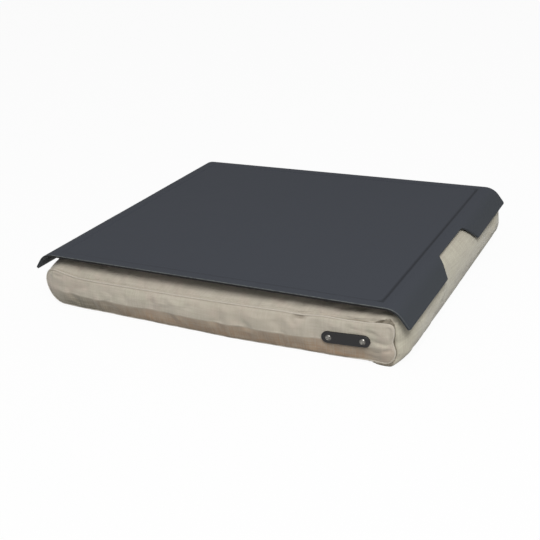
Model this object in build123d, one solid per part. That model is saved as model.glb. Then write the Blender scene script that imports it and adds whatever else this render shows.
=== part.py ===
from build123d import *
from math import cos, radians, sin
import os

# Lap tray on a bead-filled cushion, in millimetres: X to the right, Y to the back, Z up.
# The origin is on the floor, at the middle of the tray's footprint.

# Tray: one moulded sheet with a shallow recess and two short ends that curve down
tray_width = 460
tray_depth = 380
tray_height = 65
tray_thickness = 2.5
lip_bend_radius = 22.3
lip_bend_angle = 53.35
lip_straight = 13.2
lip_corner_radius = 3
tray_edge_bevel = 0.6

# Recess in the tray's top
recess_depth = 0.8
recess_riser = 3
recess_to_bend = 5.6
recess_to_edge = 11
recess_corner_radius = 13

# Grip notch in the middle of each curved end
notch_mouth_width = 128.5
notch_floor_width = 91
notch_depth = 23.4
notch_lean = 40
notch_floor_radius = 9
notch_mouth_radius = 2.5

# Hook and loop strips that hold the cushion under the tray
strip_width = 20
strip_to_edge = 50
strip_to_side = 75.5
strip_backing = 0.5
strip_pile = 0.7
strip_selvedge = 1.5
strip_corner_radius = 2

# Cushion, as the tray and the floor press it
cushion_to_tip = 3.6
cushion_crown = 0.5
cushion_press = 0.9
floor_press = 0.5
cushion_low_radius = 17
cushion_side_radius = 60
cushion_shoulder_angle = 20
cover_wall = 1.2
cover_steps = 2
front_seam_to_edge = 2.5
rear_seam_to_edge = 6.5

# Seam round each long side, which draws the cover in
front_seam_to_side = 11.9
rear_seam_to_side = 2.2
seam_low = 3.5
seam_high = 46.5
seam_sag = 6
seam_low_radius = 9
seam_side_radius = 185
seam_shoulder_angle = 8
draw_in_length = 36

# Flat facets of each curve in the line round the cushion
top_facets = 4
shoulder_facets = 3
side_facets = 1
foot_facets = 3

# Long side panels, which swell out from their seams to a flat
front_swell = 4
rear_swell = 3.5
swell_shares = (0.7, 1)
panel_flat_border = 7
border_shares = (0.32, 1)

# Liner and the beads in it
liner_gap = 0.3
liner_wall = 0.4
bead_gap = 0.3
liner_front_setback = 0.3
liner_rear_setback = 1.2

# Bare label on the front, a little tilted, with two rivets
label_length = 52.4
label_width = 12.6
label_thickness = 2.3
label_edge_bevel = 0.4
label_to_seam = 51.2
label_height = 24.7
label_tilt = 3.1
rivet_spacing = 36.8
rivet_flange_radius = 3.3
rivet_flange_height = 0.8
rivet_ring_radius = 2.6
rivet_dish_radius = 1.8
rivet_dish_depth = 0.5
rivet_shank_radius = 1.7
rivet_clinch_radius = 2.6
rivet_clinch_height = 0.5
rivet_hole_clearance = 0.05
washer_radius = 4
washer_thickness = 0.6

# Zip across the rear
zip_height = 22.5
zip_to_seam = 49.2
zip_slot_height = 11
tape_width = 19
tape_thickness = 0.6
tape_overlap = 9
tooth_pitch = 3
tooth_row_thickness = 2.5
tooth_neck_width = 1
tooth_head_width = 1.75
tooth_end_gap = 0.15
bead_inner = 1.25
bead_outer = 2.9
stop_length = 3
stop_proud = 0.3
stop_gap = 0.3

# Slider, whose wedge parts the rows of teeth
slider_length = 13
slider_tail_width = 8.8
slider_nose_width = 10.4
slider_waist_share = 0.5
slider_plate = 1.1
slider_flange = 1.2
slider_channel_gap = 0.3
slider_tape_gap = 0.3
slider_corner_radius = 1.2
wedge_width = 2.2
wedge_length = 4.6
wedge_setback = 0.5

# Bridge on the slider, and the pull that swings in it
bridge_length = 8.4
bridge_width = 3
bridge_band = 1.1
bridge_bend_radius = 1.2
pull_bar_radius = 0.8
pull_bar_gap = 0.25
pull_thickness = 1.4
pull_length = 26
pull_width = 7
pull_arm = 1.3
pull_eye_length = 6.5
pull_grip_radius = 1.5
pull_end_radius = 2.4

overrun = 15
selection_tolerance = 0.3
surface_tolerance = 0.03
along_share = 0.99


# Sizes that follow from the ones above
bend_run = lip_bend_radius * sin(radians(lip_bend_angle))
lip_reach = bend_run + lip_straight * cos(radians(lip_bend_angle))
bend_drop = lip_bend_radius * (1 - cos(radians(lip_bend_angle)))
lip_drop = bend_drop + lip_straight * sin(radians(lip_bend_angle))
flat_half_width = tray_width / 2 - lip_reach
strip_length = tray_depth - 2 * strip_to_edge
strip_thickness = strip_backing + strip_pile
tray_underside = tray_height - tray_thickness
cushion_top = tray_underside - 2 * strip_thickness
cushion_half_width = tray_width / 2 - cushion_to_tip
front_seam_half_width = cushion_half_width - front_seam_to_side
rear_seam_half_width = cushion_half_width - rear_seam_to_side
strip_place = cushion_half_width - strip_to_side
label_place = front_seam_half_width - label_to_seam
zip_length = 2 * (rear_seam_half_width - zip_to_seam)
front_seam = front_seam_to_edge - tray_depth / 2
rear_seam = tray_depth / 2 - rear_seam_to_edge
front_face = front_seam - front_swell
rear_face = rear_seam + rear_swell
zip_plane = rear_face - cover_wall - tape_thickness / 2
row_half = tooth_row_thickness / 2
slider_half = row_half + slider_channel_gap + slider_plate
slider_start = stop_length + stop_gap + slider_length / 2 - zip_length / 2
slider_stop = zip_length / 2 - stop_length - stop_gap - slider_length / 2
pull_axis = zip_plane + slider_half + pull_bar_gap + pull_bar_radius


def save(name, shape):
    """Write one piece, or one group of like pieces, under its name."""
    export_step(shape, f"parts/{name}.step")


def upright(y):
    """A drawing plane across the object: its x is X and its y is Z."""
    return Plane((0, y, 0), x_dir=(1, 0, 0), z_dir=(0, -1, 0))


def slab(sketch, y_from, y_to):
    """A sketch in X and Z as a slab between two places on Y."""
    return extrude(upright(y_to) * sketch, amount=y_to - y_from)


def block(x_from, x_to, y_from, y_to, z_from, z_to):
    """A box between six places."""
    size = (x_to - x_from, y_to - y_from, z_to - z_from)
    return Pos(x_from, y_from, z_from) * Box(*size, align=Align.MIN)


# Tray
def lip_line(inset):
    """Half of the tray's section, from the middle to the tip, at a depth under its top."""
    radius = lip_bend_radius - inset
    bend = CenterArc((flat_half_width, tray_height - lip_bend_radius), radius, 90, -lip_bend_angle)
    flat = Line((0, tray_height - inset), bend @ 0)
    lip = Line(bend @ 1, bend @ 1 + (bend % 1) * lip_straight)
    return flat, bend, lip


def tray_blank():
    """The sheet with both ends curved down."""
    top = lip_line(0)
    under = lip_line(tray_thickness)
    tip = Line(top[2] @ 1, under[2] @ 1)
    middle = Line(top[0] @ 0, under[0] @ 0)
    half = make_face([*top, tip, *under, middle])
    right = slab(half, -tray_depth / 2, tray_depth / 2)
    return right + mirror(right, about=Plane.YZ)


def recess_outline(border):
    """The recess at one depth, a border inside its upper edge."""
    width = 2 * (flat_half_width - recess_to_bend - border)
    depth = tray_depth - 2 * (recess_to_edge + border)
    return RectangleRounded(width, depth, recess_corner_radius - border)


def recess_cutter():
    """The recess, with its soft riser all round."""
    upper = Pos(Z=tray_height) * recess_outline(0)
    lower = Pos(Z=tray_height - recess_depth) * recess_outline(recess_riser)
    return loft([lower, upper], ruled=True)


def notch_cutter():
    """The grip notch in the right end, cut square to the lean of the lip."""
    lean = radians(notch_lean)
    tip = (tray_width / 2, 0, tray_height - lip_drop)
    across = Plane(tip, x_dir=(-cos(lean), 0, sin(lean)), z_dir=(sin(lean), 0, cos(lean)))
    mouth = notch_mouth_width / 2
    floor = notch_floor_width / 2
    flare = mouth + (mouth - floor) * overrun / notch_depth
    corners = [(-overrun, -flare), (notch_depth, -floor), (notch_depth, floor), (-overrun, flare)]
    outline = make_face(Polyline(*corners, close=True))
    inner = outline.vertices().sort_by(Axis.X)[-2:]
    outline = fillet(inner, notch_floor_radius)
    return extrude(across * outline, amount=overrun, both=True)


def near(value, target):
    """Whether two sizes agree within the tolerance that picks edges."""
    return abs(value - target) < selection_tolerance


def round_tips(tray):
    """Round the tips' outer corners, then the corners of the notches' mouths."""
    low = tray_height - lip_drop + selection_tolerance
    short = [e for e in tray.edges() if near(e.length, tray_thickness) and e.center().Z < low]
    outer = [e for e in short if near(abs(e.center().Y), tray_depth / 2)]
    mouths = [e for e in short if abs(e.center().Y) < tray_depth / 2 - lip_corner_radius]
    tray = fillet(outer, lip_corner_radius)
    low_edges = [e for e in tray.edges() if e.center().Z < low]
    picked = [e for e in low_edges if any(near((e.center() - m.center()).length, 0) for m in mouths)]
    return fillet(picked, notch_mouth_radius)


def top_height(x):
    """The height of the tray's upper surface at a place on X."""
    past = abs(x) - flat_half_width
    if past <= 0:
        return tray_height
    if past <= bend_run:
        drop = lip_bend_radius - (lip_bend_radius**2 - past**2) ** 0.5
        return tray_height - drop
    slope = sin(radians(lip_bend_angle)) / cos(radians(lip_bend_angle))
    return tray_height - bend_drop - (past - bend_run) * slope


def is_rim(edge):
    """Whether an edge runs round the upper side of the sheet."""
    middle = edge.position_at(0.5)
    on_top = abs(middle.Z - top_height(middle.X)) < surface_tolerance
    along = abs(edge.tangent_at(0.5).Y) > along_share
    seam = any(near(abs(middle.X), x) for x in (flat_half_width, flat_half_width + bend_run))
    inside_x = abs(middle.X) < flat_half_width - recess_to_bend + selection_tolerance
    inside_y = abs(middle.Y) < tray_depth / 2 - recess_to_edge + selection_tolerance
    return on_top and not (along and seam) and not (inside_x and inside_y)


def make_tray():
    """The tray's sheet with its recess, notches and eased rim."""
    notch = notch_cutter()
    tray = tray_blank() - notch - mirror(notch, about=Plane.YZ)
    tray = round_tips(tray)
    tray = chamfer([e for e in tray.edges() if is_rim(e)], tray_edge_bevel)
    return tray - recess_cutter()


# Hook and loop
def strip(x, base, direction):
    """A woven strip: a backing on its carrier and a narrower pile that faces its mate."""
    backing = RectangleRounded(strip_width, strip_length, strip_corner_radius)
    narrow = strip_width - 2 * strip_selvedge
    pile = Rectangle(narrow, strip_length - 2 * strip_corner_radius)
    lower = extrude(backing, amount=direction * strip_backing)
    upper = extrude(pile, amount=direction * strip_thickness)
    return Pos(x, 0, base) * (lower + upper)


# Cushion
def arc_points(centre, radius, start, sweep, facets):
    """Points along an arc, without its last one."""
    turns = [radians(start + sweep * step / facets) for step in range(facets)]
    return [(centre[0] + radius * cos(turn), centre[1] + radius * sin(turn)) for turn in turns]


def section(y, half_width, low, high, angle, side_radius, low_radius, crown):
    """A closed line round the cushion: a top curve, and a shoulder, side and foot at each end."""
    rise = sin(radians(angle))
    run = cos(radians(angle))
    shoulder = (high - low - side_radius * rise - low_radius) / (1 - rise)
    reach = half_width - side_radius * (1 - run) - shoulder * run
    level = low + low_radius
    right = arc_points((reach, high - shoulder), shoulder, 90, angle - 90, shoulder_facets)
    right += arc_points((half_width - side_radius, level), side_radius, angle, -angle, side_facets)
    right += arc_points((half_width - low_radius, level), low_radius, 0, -90, foot_facets)
    right += [(half_width - low_radius, low)]
    shares = [2 * step / top_facets - 1 for step in range(1, top_facets)]
    top = [(reach * share, high + crown * (1 - share**2)) for share in shares]
    left = [(-x, z) for x, z in reversed(right)]
    return upright(y) * Polyline(*right, *left, *top, close=True).wire()


def seam_half_width(y):
    """How far the nearer long side's seam reaches on X."""
    return front_seam_half_width if y < 0 else rear_seam_half_width


def seam_section(y, inset):
    """The drawn-in line of a long side's seam, or a line inside it."""
    return section(
        y,
        seam_half_width(y) - inset,
        seam_low + inset,
        seam_high - inset,
        seam_shoulder_angle,
        seam_side_radius - inset,
        seam_low_radius - inset,
        -seam_sag,
    )


def body_section(y, share, inset):
    """The cushion's line at a share of the way in from a seam to its full size."""
    def fill(drawn, full, power):
        return drawn + (full - drawn) * (1 - (1 - share) ** power)

    return section(
        y,
        fill(seam_half_width(y), cushion_half_width, 3) - inset,
        fill(seam_low, -floor_press, 2) + inset,
        fill(seam_high, cushion_top + cushion_press, 2) - inset,
        fill(seam_shoulder_angle, cushion_shoulder_angle, 1),
        fill(seam_side_radius, cushion_side_radius, 1) - inset,
        fill(seam_low_radius, cushion_low_radius, 2) - inset,
        fill(-seam_sag, cushion_crown, 2),
    )


def drawn_end(seam, inward, inset):
    """One long side's stretch of the body, where the seam draws it in."""
    lines = [seam_section(seam, inset)]
    for step in range(1, cover_steps + 1):
        share = step / cover_steps
        lines.append(body_section(seam + inward * share * draw_in_length, share, inset))
    return Solid.make_loft(lines, ruled=True)


def cushion_form(inset, front_setback=0, rear_setback=0):
    """The body between its two seams, a wall inside the cover, pressed flat above and below."""
    front = front_seam + draw_in_length
    rear = rear_seam - draw_in_length
    outline = Face(body_section(rear, 1, inset))
    middle = extrude(outline, amount=rear - front, dir=(0, -1, 0))
    form = middle + drawn_end(front_seam, 1, inset) + drawn_end(rear_seam, -1, inset)
    side = tray_width
    ends = (front_seam + front_setback, rear_seam - rear_setback)
    return form & block(-side, side, *ends, inset, cushion_top - inset)


def panel_form(seam, face, wall):
    """A long side's panel as a solid cap, from its seam out to its flat."""
    out = 1 if face > seam else -1
    lines = [seam_section(seam, wall)]
    for swell, border in zip(swell_shares, border_shares):
        place = seam + (face - out * wall - seam) * swell
        lines.append(seam_section(place, wall + border * panel_flat_border))
    return Solid.make_loft(lines, ruled=True)


def panel(seam, face):
    """A long side's panel as a sewn sheet."""
    return Part() + panel_form(seam, face, 0) - panel_form(seam, face, cover_wall)


def rivet_places():
    """The middles of the label's two rivets on X and Z."""
    run = rivet_spacing / 2 * cos(radians(label_tilt))
    rise = rivet_spacing / 2 * sin(radians(label_tilt))
    return [(label_place + side * run, label_height + side * rise) for side in (-1, 1)]


def rivet_holes():
    """Both rivets' holes, through the label, the panel and the washers."""
    radius = rivet_shank_radius + rivet_hole_clearance
    circles = [Pos(x, z) * Circle(radius) for x, z in rivet_places()]
    return slab(Sketch() + circles, front_face - overrun, front_face + overrun)


def make_front_panel():
    """The front panel, pierced by the rivets."""
    return panel(front_seam, front_face) - rivet_holes()


def make_rear_panels():
    """The two rear panels, which meet past the ends of the zip's slot."""
    slot = Pos(0, zip_height) * SlotOverall(zip_length + zip_slot_height, zip_slot_height)
    whole = panel(rear_seam, rear_face) - slab(slot, rear_seam - overrun, rear_face + overrun)
    reach = (-tray_width, tray_width, rear_seam - overrun, rear_face + overrun)
    return whole & block(*reach, zip_height, tray_height), whole & block(*reach, 0, zip_height)


def make_wrap_panel():
    """The sheet that goes over the top, round both short ends and under."""
    return cushion_form(0) - cushion_form(cover_wall)


def make_liner():
    """The thin bag that keeps the beads."""
    outer = cover_wall + liner_gap
    inner = outer + liner_wall
    bag = cushion_form(outer, liner_front_setback, liner_rear_setback)
    setbacks = (liner_front_setback + liner_wall, liner_rear_setback + liner_wall)
    return bag - cushion_form(inner, *setbacks)


def make_beads():
    """The beads, as the one mass that they settle into."""
    inset = cover_wall + liner_gap + liner_wall + bead_gap
    front = liner_front_setback + liner_wall + bead_gap
    rear = liner_rear_setback + liner_wall + bead_gap
    return cushion_form(inset, front, rear)


# Label
def make_label():
    """The bare label, a flat pill with a bevelled edge."""
    turned = Rot(Z=label_tilt) * SlotOverall(label_length, label_width)
    pill = Pos(label_place, label_height) * turned
    label = slab(pill, front_face - label_thickness, front_face)
    rim = label.faces().sort_by(Axis.Y)[0].edges()
    return chamfer(rim, label_edge_bevel) - rivet_holes()


def make_rivet():
    """A rivet on Z: a flange with a dished face, a shank and the clinch that holds its washer."""
    grip = label_thickness + cover_wall + washer_thickness
    dish = rivet_flange_height - rivet_dish_depth
    tail = grip + rivet_clinch_height
    outline = Polyline(
        (0, dish),
        (rivet_dish_radius, dish),
        (rivet_ring_radius, rivet_flange_height),
        (rivet_flange_radius, 0),
        (rivet_shank_radius, 0),
        (rivet_shank_radius, -grip),
        (rivet_clinch_radius, -grip),
        (rivet_clinch_radius, -tail),
        (0, -tail),
        close=True,
    )
    return revolve(Plane.XZ * make_face(outline), Axis.Z)


def on_front(y, shapes):
    """The same piece at both rivets, its Z turned to face forward."""
    places = [Pos(x, y, z) * Rot(X=90) for x, z in rivet_places()]
    return Compound(children=[place * shape for place, shape in zip(places, shapes)])


def make_rivets():
    """Both rivets in the label."""
    return on_front(front_face - label_thickness, [make_rivet(), make_rivet()])


def make_washer():
    """A washer on Z, its upper face at zero."""
    ring = Circle(washer_radius) - Circle(rivet_shank_radius + rivet_hole_clearance)
    return extrude(ring, amount=-washer_thickness)


def make_washers():
    """Both washers, against the inside of the front panel."""
    return on_front(front_face + cover_wall, [make_washer(), make_washer()])


# Zip
def tooth_outline(x, side):
    """One tooth, a dovetail that widens from its bead to just short of the other bead."""
    neck = tooth_neck_width / 2
    head = tooth_head_width / 2
    root = side * bead_inner
    end = -side * (bead_inner - tooth_end_gap)
    return [(x - neck, root), (x - head, end), (x + head, end), (x + neck, root)]


def tooth_places(side):
    """The teeth's middles on X. The lower row sits half a pitch along."""
    first = slider_start - slider_length / 2 + wedge_setback + wedge_length + tooth_pitch / 2
    last = zip_length / 2 - stop_length - tooth_pitch / 2
    shift = 0 if side > 0 else tooth_pitch / 2
    count = int((last - first - shift) / tooth_pitch) + 1
    return [first + shift + index * tooth_pitch for index in range(count)]


def tooth_row(side):
    """A row of teeth on its bead, as one comb."""
    start = stop_length - zip_length / 2
    end = zip_length / 2 - stop_length
    points = [(start, side * bead_outer), (start, side * bead_inner)]
    for x in tooth_places(side):
        points += tooth_outline(x, side)
    points += [(end, side * bead_inner), (end, side * bead_outer)]
    comb = make_face(Polyline(*points, close=True))
    return slab(Pos(0, zip_height) * comb, zip_plane - row_half, zip_plane + row_half)


def tape(side):
    """One tape, from its bead to its far edge inside the panel."""
    near_edge = zip_height + side * bead_outer
    far_edge = zip_height + side * tape_width / 2
    half = zip_length / 2 + tape_overlap
    ends = (zip_plane - tape_thickness / 2, zip_plane + tape_thickness / 2)
    return block(-half, half, *ends, min(near_edge, far_edge), max(near_edge, far_edge))


def make_top_stops():
    """A stop at the closed end of each row."""
    half = row_half + stop_proud
    ends = (-zip_length / 2, stop_length - zip_length / 2, zip_plane - half, zip_plane + half)
    upper = block(*ends, zip_height + bead_inner, zip_height + bead_outer)
    lower = block(*ends, zip_height - bead_outer, zip_height - bead_inner)
    return Compound(children=[upper, lower])


def make_bottom_stop():
    """The one stop that joins both rows at the open end."""
    half = row_half + stop_proud
    ends = (zip_length / 2 - stop_length, zip_length / 2, zip_plane - half, zip_plane + half)
    return block(*ends, zip_height - bead_outer, zip_height + bead_outer)


def slider_outline(inset, past):
    """The slider's plate, or its channel: wide at the nose and narrow from the waist back."""
    nose = slider_nose_width / 2 - inset
    tail = slider_tail_width / 2 - inset
    front = -slider_length / 2 - past
    back = slider_length / 2 + past
    waist = front + past + slider_waist_share * slider_length
    half = [(front, nose), (front + past, nose), (waist, tail), (back, tail)]
    if past == 0:
        half = half[1:]
    mirrored = [(x, -z) for x, z in reversed(half)]
    return make_face(Polyline(*half, *mirrored, close=True))


def make_bridge():
    """The loop on the slider's outer plate that holds the pull."""
    foot = slider_half
    height = pull_bar_gap + 2 * pull_bar_radius + pull_bar_gap + bridge_band
    outer = Pos(0, foot + height / 2) * Rectangle(bridge_length, height)
    outer = fillet(outer.vertices().sort_by(Axis.Y)[-2:], bridge_bend_radius)
    clear = height - bridge_band
    hole = Pos(0, foot + clear / 2) * Rectangle(bridge_length - 2 * bridge_band, clear)
    return extrude(outer - hole, amount=bridge_width / 2, both=True)


def make_slider():
    """The slider: two plates, flanges that keep the rows in, a wedge and the bridge."""
    plate = slider_outline(0, 0)
    plate = fillet(plate.vertices(), slider_corner_radius)
    flanges = plate - slider_outline(slider_flange, overrun)
    channel = row_half + slider_channel_gap
    lip = tape_thickness / 2 + slider_tape_gap
    nose = -slider_length / 2 + wedge_setback
    half = wedge_width / 2
    tip = nose + wedge_length
    wedge = make_face(Polyline((nose, -half), (nose, half), (nose + half, half), (tip, 0),
                               (nose + half, -half), close=True))
    body = slab(wedge, -channel, channel)
    for side in (-1, 1):
        body += slab(plate, *sorted((side * channel, side * slider_half)))
        body += slab(flanges, *sorted((side * lip, side * channel)))
    body += make_bridge()
    return Pos(slider_start, zip_plane, zip_height) * body


def make_pull():
    """The pull at rest, its bar on the hinge line and its tab along the closed teeth."""
    half = pull_thickness / 2
    tab = Pos(pull_length / 2 - pull_bar_radius) * Rectangle(pull_length, pull_width)
    tab = fillet(tab.vertices().sort_by(Axis.X)[-2:], pull_end_radius)
    eye_width = pull_width - 2 * pull_arm
    eye = Pos(pull_eye_length / 2) * Rectangle(pull_eye_length, eye_width)
    grip = Pos(pull_length - 2 * pull_end_radius - pull_grip_radius) * Circle(pull_grip_radius)
    behind = Pos(-pull_bar_radius / 2) * Rectangle(pull_bar_radius, pull_width)
    plate = slab(tab - eye - grip - behind, -half, half)
    bar = extrude(Circle(pull_bar_radius), amount=pull_width / 2, both=True)
    return Pos(slider_start, pull_axis, zip_height) * (plate + bar)


def main():
    """Make every piece and write it."""
    os.makedirs("parts", exist_ok=True)
    save("tray_shell", make_tray())
    for name, side in (("left", -1), ("right", 1)):
        x = side * strip_place
        save(f"hook_strip_{name}", strip(x, tray_underside, -1))
        save(f"loop_strip_{name}", strip(x, cushion_top, 1))
    save("cover_wrap_panel", make_wrap_panel())
    save("cover_front_panel", make_front_panel())
    upper_panel, lower_panel = make_rear_panels()
    save("cover_rear_panel_upper", upper_panel)
    save("cover_rear_panel_lower", lower_panel)
    save("inner_bag", make_liner())
    save("bead_fill", make_beads())
    save("label_tag", make_label())
    save("label_rivets", make_rivets())
    save("rivet_washers", make_washers())
    for name, side in (("upper", 1), ("lower", -1)):
        save(f"zip_teeth_{name}", tooth_row(side))
        save(f"zip_tape_{name}", tape(side))
    save("zip_top_stops", make_top_stops())
    save("zip_bottom_stop", make_bottom_stop())
    save("zip_slider", make_slider())
    save("zip_pull", make_pull())
    travel = slider_stop - slider_start
    print(f"zip slider travel {travel:.2f}, hinge at {slider_start:.2f}, {pull_axis:.2f}, {zip_height:.2f}")


main()
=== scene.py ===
import logging
from dataclasses import dataclass, field
from enum import Enum, IntEnum
from functools import reduce
from typing import Iterable, Sequence

import bpy
import numpy as np
from mathutils import Matrix, Vector
from mathutils.bvhtree import BVHTree


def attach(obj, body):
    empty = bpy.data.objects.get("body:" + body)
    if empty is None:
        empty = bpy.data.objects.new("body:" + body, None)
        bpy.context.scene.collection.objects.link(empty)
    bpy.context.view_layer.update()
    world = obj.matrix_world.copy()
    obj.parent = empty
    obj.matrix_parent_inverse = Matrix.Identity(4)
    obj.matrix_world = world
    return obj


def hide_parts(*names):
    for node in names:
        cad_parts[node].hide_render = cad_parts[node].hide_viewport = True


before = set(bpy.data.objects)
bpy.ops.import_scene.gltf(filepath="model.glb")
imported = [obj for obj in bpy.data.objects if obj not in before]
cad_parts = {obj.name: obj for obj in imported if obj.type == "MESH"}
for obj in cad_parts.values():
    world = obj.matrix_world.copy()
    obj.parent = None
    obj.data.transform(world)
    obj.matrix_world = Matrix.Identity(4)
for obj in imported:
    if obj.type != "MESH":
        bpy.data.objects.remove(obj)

MM = 0.001
LOG = logging.getLogger("lap_tray")
VECTOR, NUMBER = "NodeSocketVector", "NodeSocketFloat"
Colour = tuple[float, float, float]
Point = tuple[float, float, float]
Span = tuple[float, float]
Places = tuple[Span, ...]
Socket = bpy.types.NodeSocket
Input = Socket | float | Sequence[float]


class Panel(IntEnum):
    """The sewn panels of the cover, and the slot that the zip fills."""

    WRAP = 0
    FRONT = 1
    REAR_UPPER = 2
    REAR_LOWER = 3
    SLOT = 4


class Metal(Enum):
    """The metals of the small fittings, each with its colour in sRGB and its roughness."""

    NICKEL = ((0.56, 0.55, 0.53), 0.42)
    DARK_NICKEL = ((0.36, 0.35, 0.34), 0.33)


class Nap(Enum):
    """The two sides of a hook-and-loop strip, each with its roughness and its sheen."""

    HOOKS = (0.8, 0.1)
    LOOPS = (0.95, 0.5)


# Node trees
def linear(colour: Colour) -> tuple[float, float, float, float]:
    """Turn an sRGB colour into the linear one that a shader takes.

    Args:
        colour: Red, green and blue from 0 to 1, as they look on the screen.

    Returns:
        The same colour in linear light, with an alpha of 1.
    """
    values = np.array(colour)
    light = np.where(values <= 0.04045, values / 12.92, ((values + 0.055) / 1.055) ** 2.4)
    return (*light.tolist(), 1.0)


class Graph:
    """A node tree that is being built, with short calls for its nodes and links."""

    def __init__(self, tree: bpy.types.NodeTree) -> None:
        """Start on a tree."""
        self.tree = tree

    def feed(self, node: bpy.types.Node, inputs: dict[str | int, Input]) -> bpy.types.Node:
        """Fill a node's inputs.

        Args:
            node: The node.
            inputs: Values or sockets, by the input's name or number.

        Returns:
            The node.
        """
        for name, value in inputs.items():
            if isinstance(value, bpy.types.NodeSocket):
                self.tree.links.new(value, node.inputs[name])
            else:
                node.inputs[name].default_value = value
        return node

    def put(self, kind: str, inputs: dict[str | int, Input] | None = None,
            **settings: object) -> bpy.types.Node:
        """Add one node.

        Args:
            kind: The node's type, as bpy names it.
            inputs: Values or sockets for its inputs, by name or number.
            settings: Values for the node's own properties.

        Returns:
            The node.
        """
        node = self.tree.nodes.new(kind)
        for name, value in settings.items():
            setattr(node, name, value)
        return self.feed(node, inputs or {})

    def math(self, operation: str, *values: Input, clamp: bool = False) -> Socket:
        """One Math node on numbers or sockets."""
        inputs = dict(enumerate(values))
        return self.put("ShaderNodeMath", inputs, operation=operation, use_clamp=clamp).outputs[0]

    def times(self, *values: Input) -> Socket:
        """The product of numbers and sockets."""
        return reduce(lambda first, second: self.math("MULTIPLY", first, second), values)

    def fade(self, value: Input, low: float, high: float, at_low: float = 0.0,
             at_high: float = 1.0, kind: str = "SMOOTHSTEP") -> Socket:
        """A step of a value between two places.

        Args:
            value: What is read.
            low: Where the step starts.
            high: Where it ends.
            at_low: The result up to its start.
            at_high: The result from its end on.
            kind: How the step runs, as the Map Range node names it.

        Returns:
            The result.
        """
        inputs = {"Value": value, "From Min": low, "From Max": high, "To Min": at_low, "To Max": at_high}
        return self.put("ShaderNodeMapRange", inputs, interpolation_type=kind).outputs[0]

    def band(self, value: Input, rise: Span, fall: Span, peak: float = 1.0) -> Socket:
        """A band that fades in over one stretch of a value and out over another."""
        return self.times(self.fade(value, *rise), self.fade(value, *fall, peak, 0.0))

    def blend(self, share: Input, first: Input, second: Input, mode: str = "MIX") -> Socket:
        """Two colours mixed by a share."""
        inputs = {0: share, 6: first, 7: second}
        return self.put("ShaderNodeMix", inputs, data_type="RGBA", blend_type=mode).outputs[2]

    def noise(self, vector: Socket, scale: float, detail: float = 2.0, roughness: float = 0.5) -> Socket:
        """A noise texture's value at a vector."""
        inputs = {"Vector": vector, "Scale": scale, "Detail": detail, "Roughness": roughness}
        return self.put("ShaderNodeTexNoise", inputs).outputs[0]

    def bump(self, height: Socket, strength: float, distance: float) -> Socket:
        """The normal that a relief gives."""
        inputs = {"Height": height, "Strength": strength, "Distance": distance}
        return self.put("ShaderNodeBump", inputs).outputs[0]

    def place(self) -> Socket:
        """The place on the object, in metres."""
        return self.put("ShaderNodeTexCoord").outputs["Object"]

    def split(self, vector: Socket, scale: float = 1.0) -> list[Socket]:
        """The three parts of a vector, each times a scale."""
        parts = list(self.put("ShaderNodeSeparateXYZ", {0: vector}).outputs)
        return parts if scale == 1.0 else [self.times(part, scale) for part in parts]

    def seen(self, *rays: str) -> Socket:
        """Tell some kinds of ray apart.

        Args:
            rays: The kinds, such as Camera.

        Returns:
            1 where a ray is of one of them, and 0 elsewhere.
        """
        path = self.put("ShaderNodeLightPath").outputs
        kinds = [path[f"Is {ray} Ray"] for ray in rays]
        return reduce(lambda first, second: self.math("MAXIMUM", first, second), kinds)

    def group(self, tree: bpy.types.NodeTree, **inputs: Input) -> dict[str, Socket]:
        """Place a shared group with its own values, and give its outputs by name."""
        node = self.feed(self.put("ShaderNodeGroup", node_tree=tree), inputs)
        return {out.name: out for out in node.outputs}


def new_group(name: str, inputs: dict[str, str],
              outputs: Sequence[str]) -> tuple[Graph, dict[str, Socket], bpy.types.Node]:
    """Make an empty shader node group that puts out numbers.

    Args:
        name: The group's name.
        inputs: Kind of each input, by its name.
        outputs: Names of its outputs.

    Returns:
        A Graph on the group, what is put in by name, and the node that takes what is put out.
    """
    tree = bpy.data.node_groups.new(name, "ShaderNodeTree")
    for label, kind in inputs.items():
        tree.interface.new_socket(name=label, in_out="INPUT", socket_type=kind)
    for label in outputs:
        tree.interface.new_socket(name=label, in_out="OUTPUT", socket_type=NUMBER)
    graph = Graph(tree)
    source = graph.put("NodeGroupInput").outputs
    return graph, {label: source[label] for label in inputs}, graph.put("NodeGroupOutput")


def weave_group() -> bpy.types.NodeTree:
    """A plain weave on a flat map in metres.

    A thread's round back is the sine of its place across, and which thread lies on top at a
    crossing is the product of both sines, which alternates like a chequer.

    Returns:
        The group. Height is the cloth's relief, Gap the dark holes between threads, and Slub
        the unevenness of single threads.
    """
    hole = (0.05, 0.3)
    slub_across, slub_along = 620.0, 34.0
    inputs = {"Vector": VECTOR, "Pitch": NUMBER}
    graph, given, sink = new_group("weave", inputs, ("Height", "Gap", "Slub"))
    turns = [graph.math("DIVIDE", graph.times(part, np.pi), given["Pitch"])
             for part in graph.split(given["Vector"])[:2]]
    warp, weft = (graph.math("SINE", turn) for turn in turns)
    over = graph.times(warp, weft, 0.5)
    backs = [graph.times(graph.math("ABSOLUTE", thread), graph.math(side, 0.5, over))
             for thread, side in ((warp, "ADD"), (weft, "SUBTRACT"))]
    height = graph.math("MAXIMUM", *backs)
    scales = ((slub_across, slub_along, 1.0), (slub_along, slub_across, 1.0))
    stretched = [graph.put("ShaderNodeMapping", {"Vector": given["Vector"], "Scale": scale}).outputs[0]
                 for scale in scales]
    slub = graph.math("ADD", *[graph.noise(vector, 1.0, 1.0) for vector in stretched])
    gap = graph.fade(height, *hole, 1.0, 0.0)
    graph.feed(sink, {"Height": height, "Gap": gap, "Slub": graph.times(slub, 0.5)})
    return graph.tree


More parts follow.
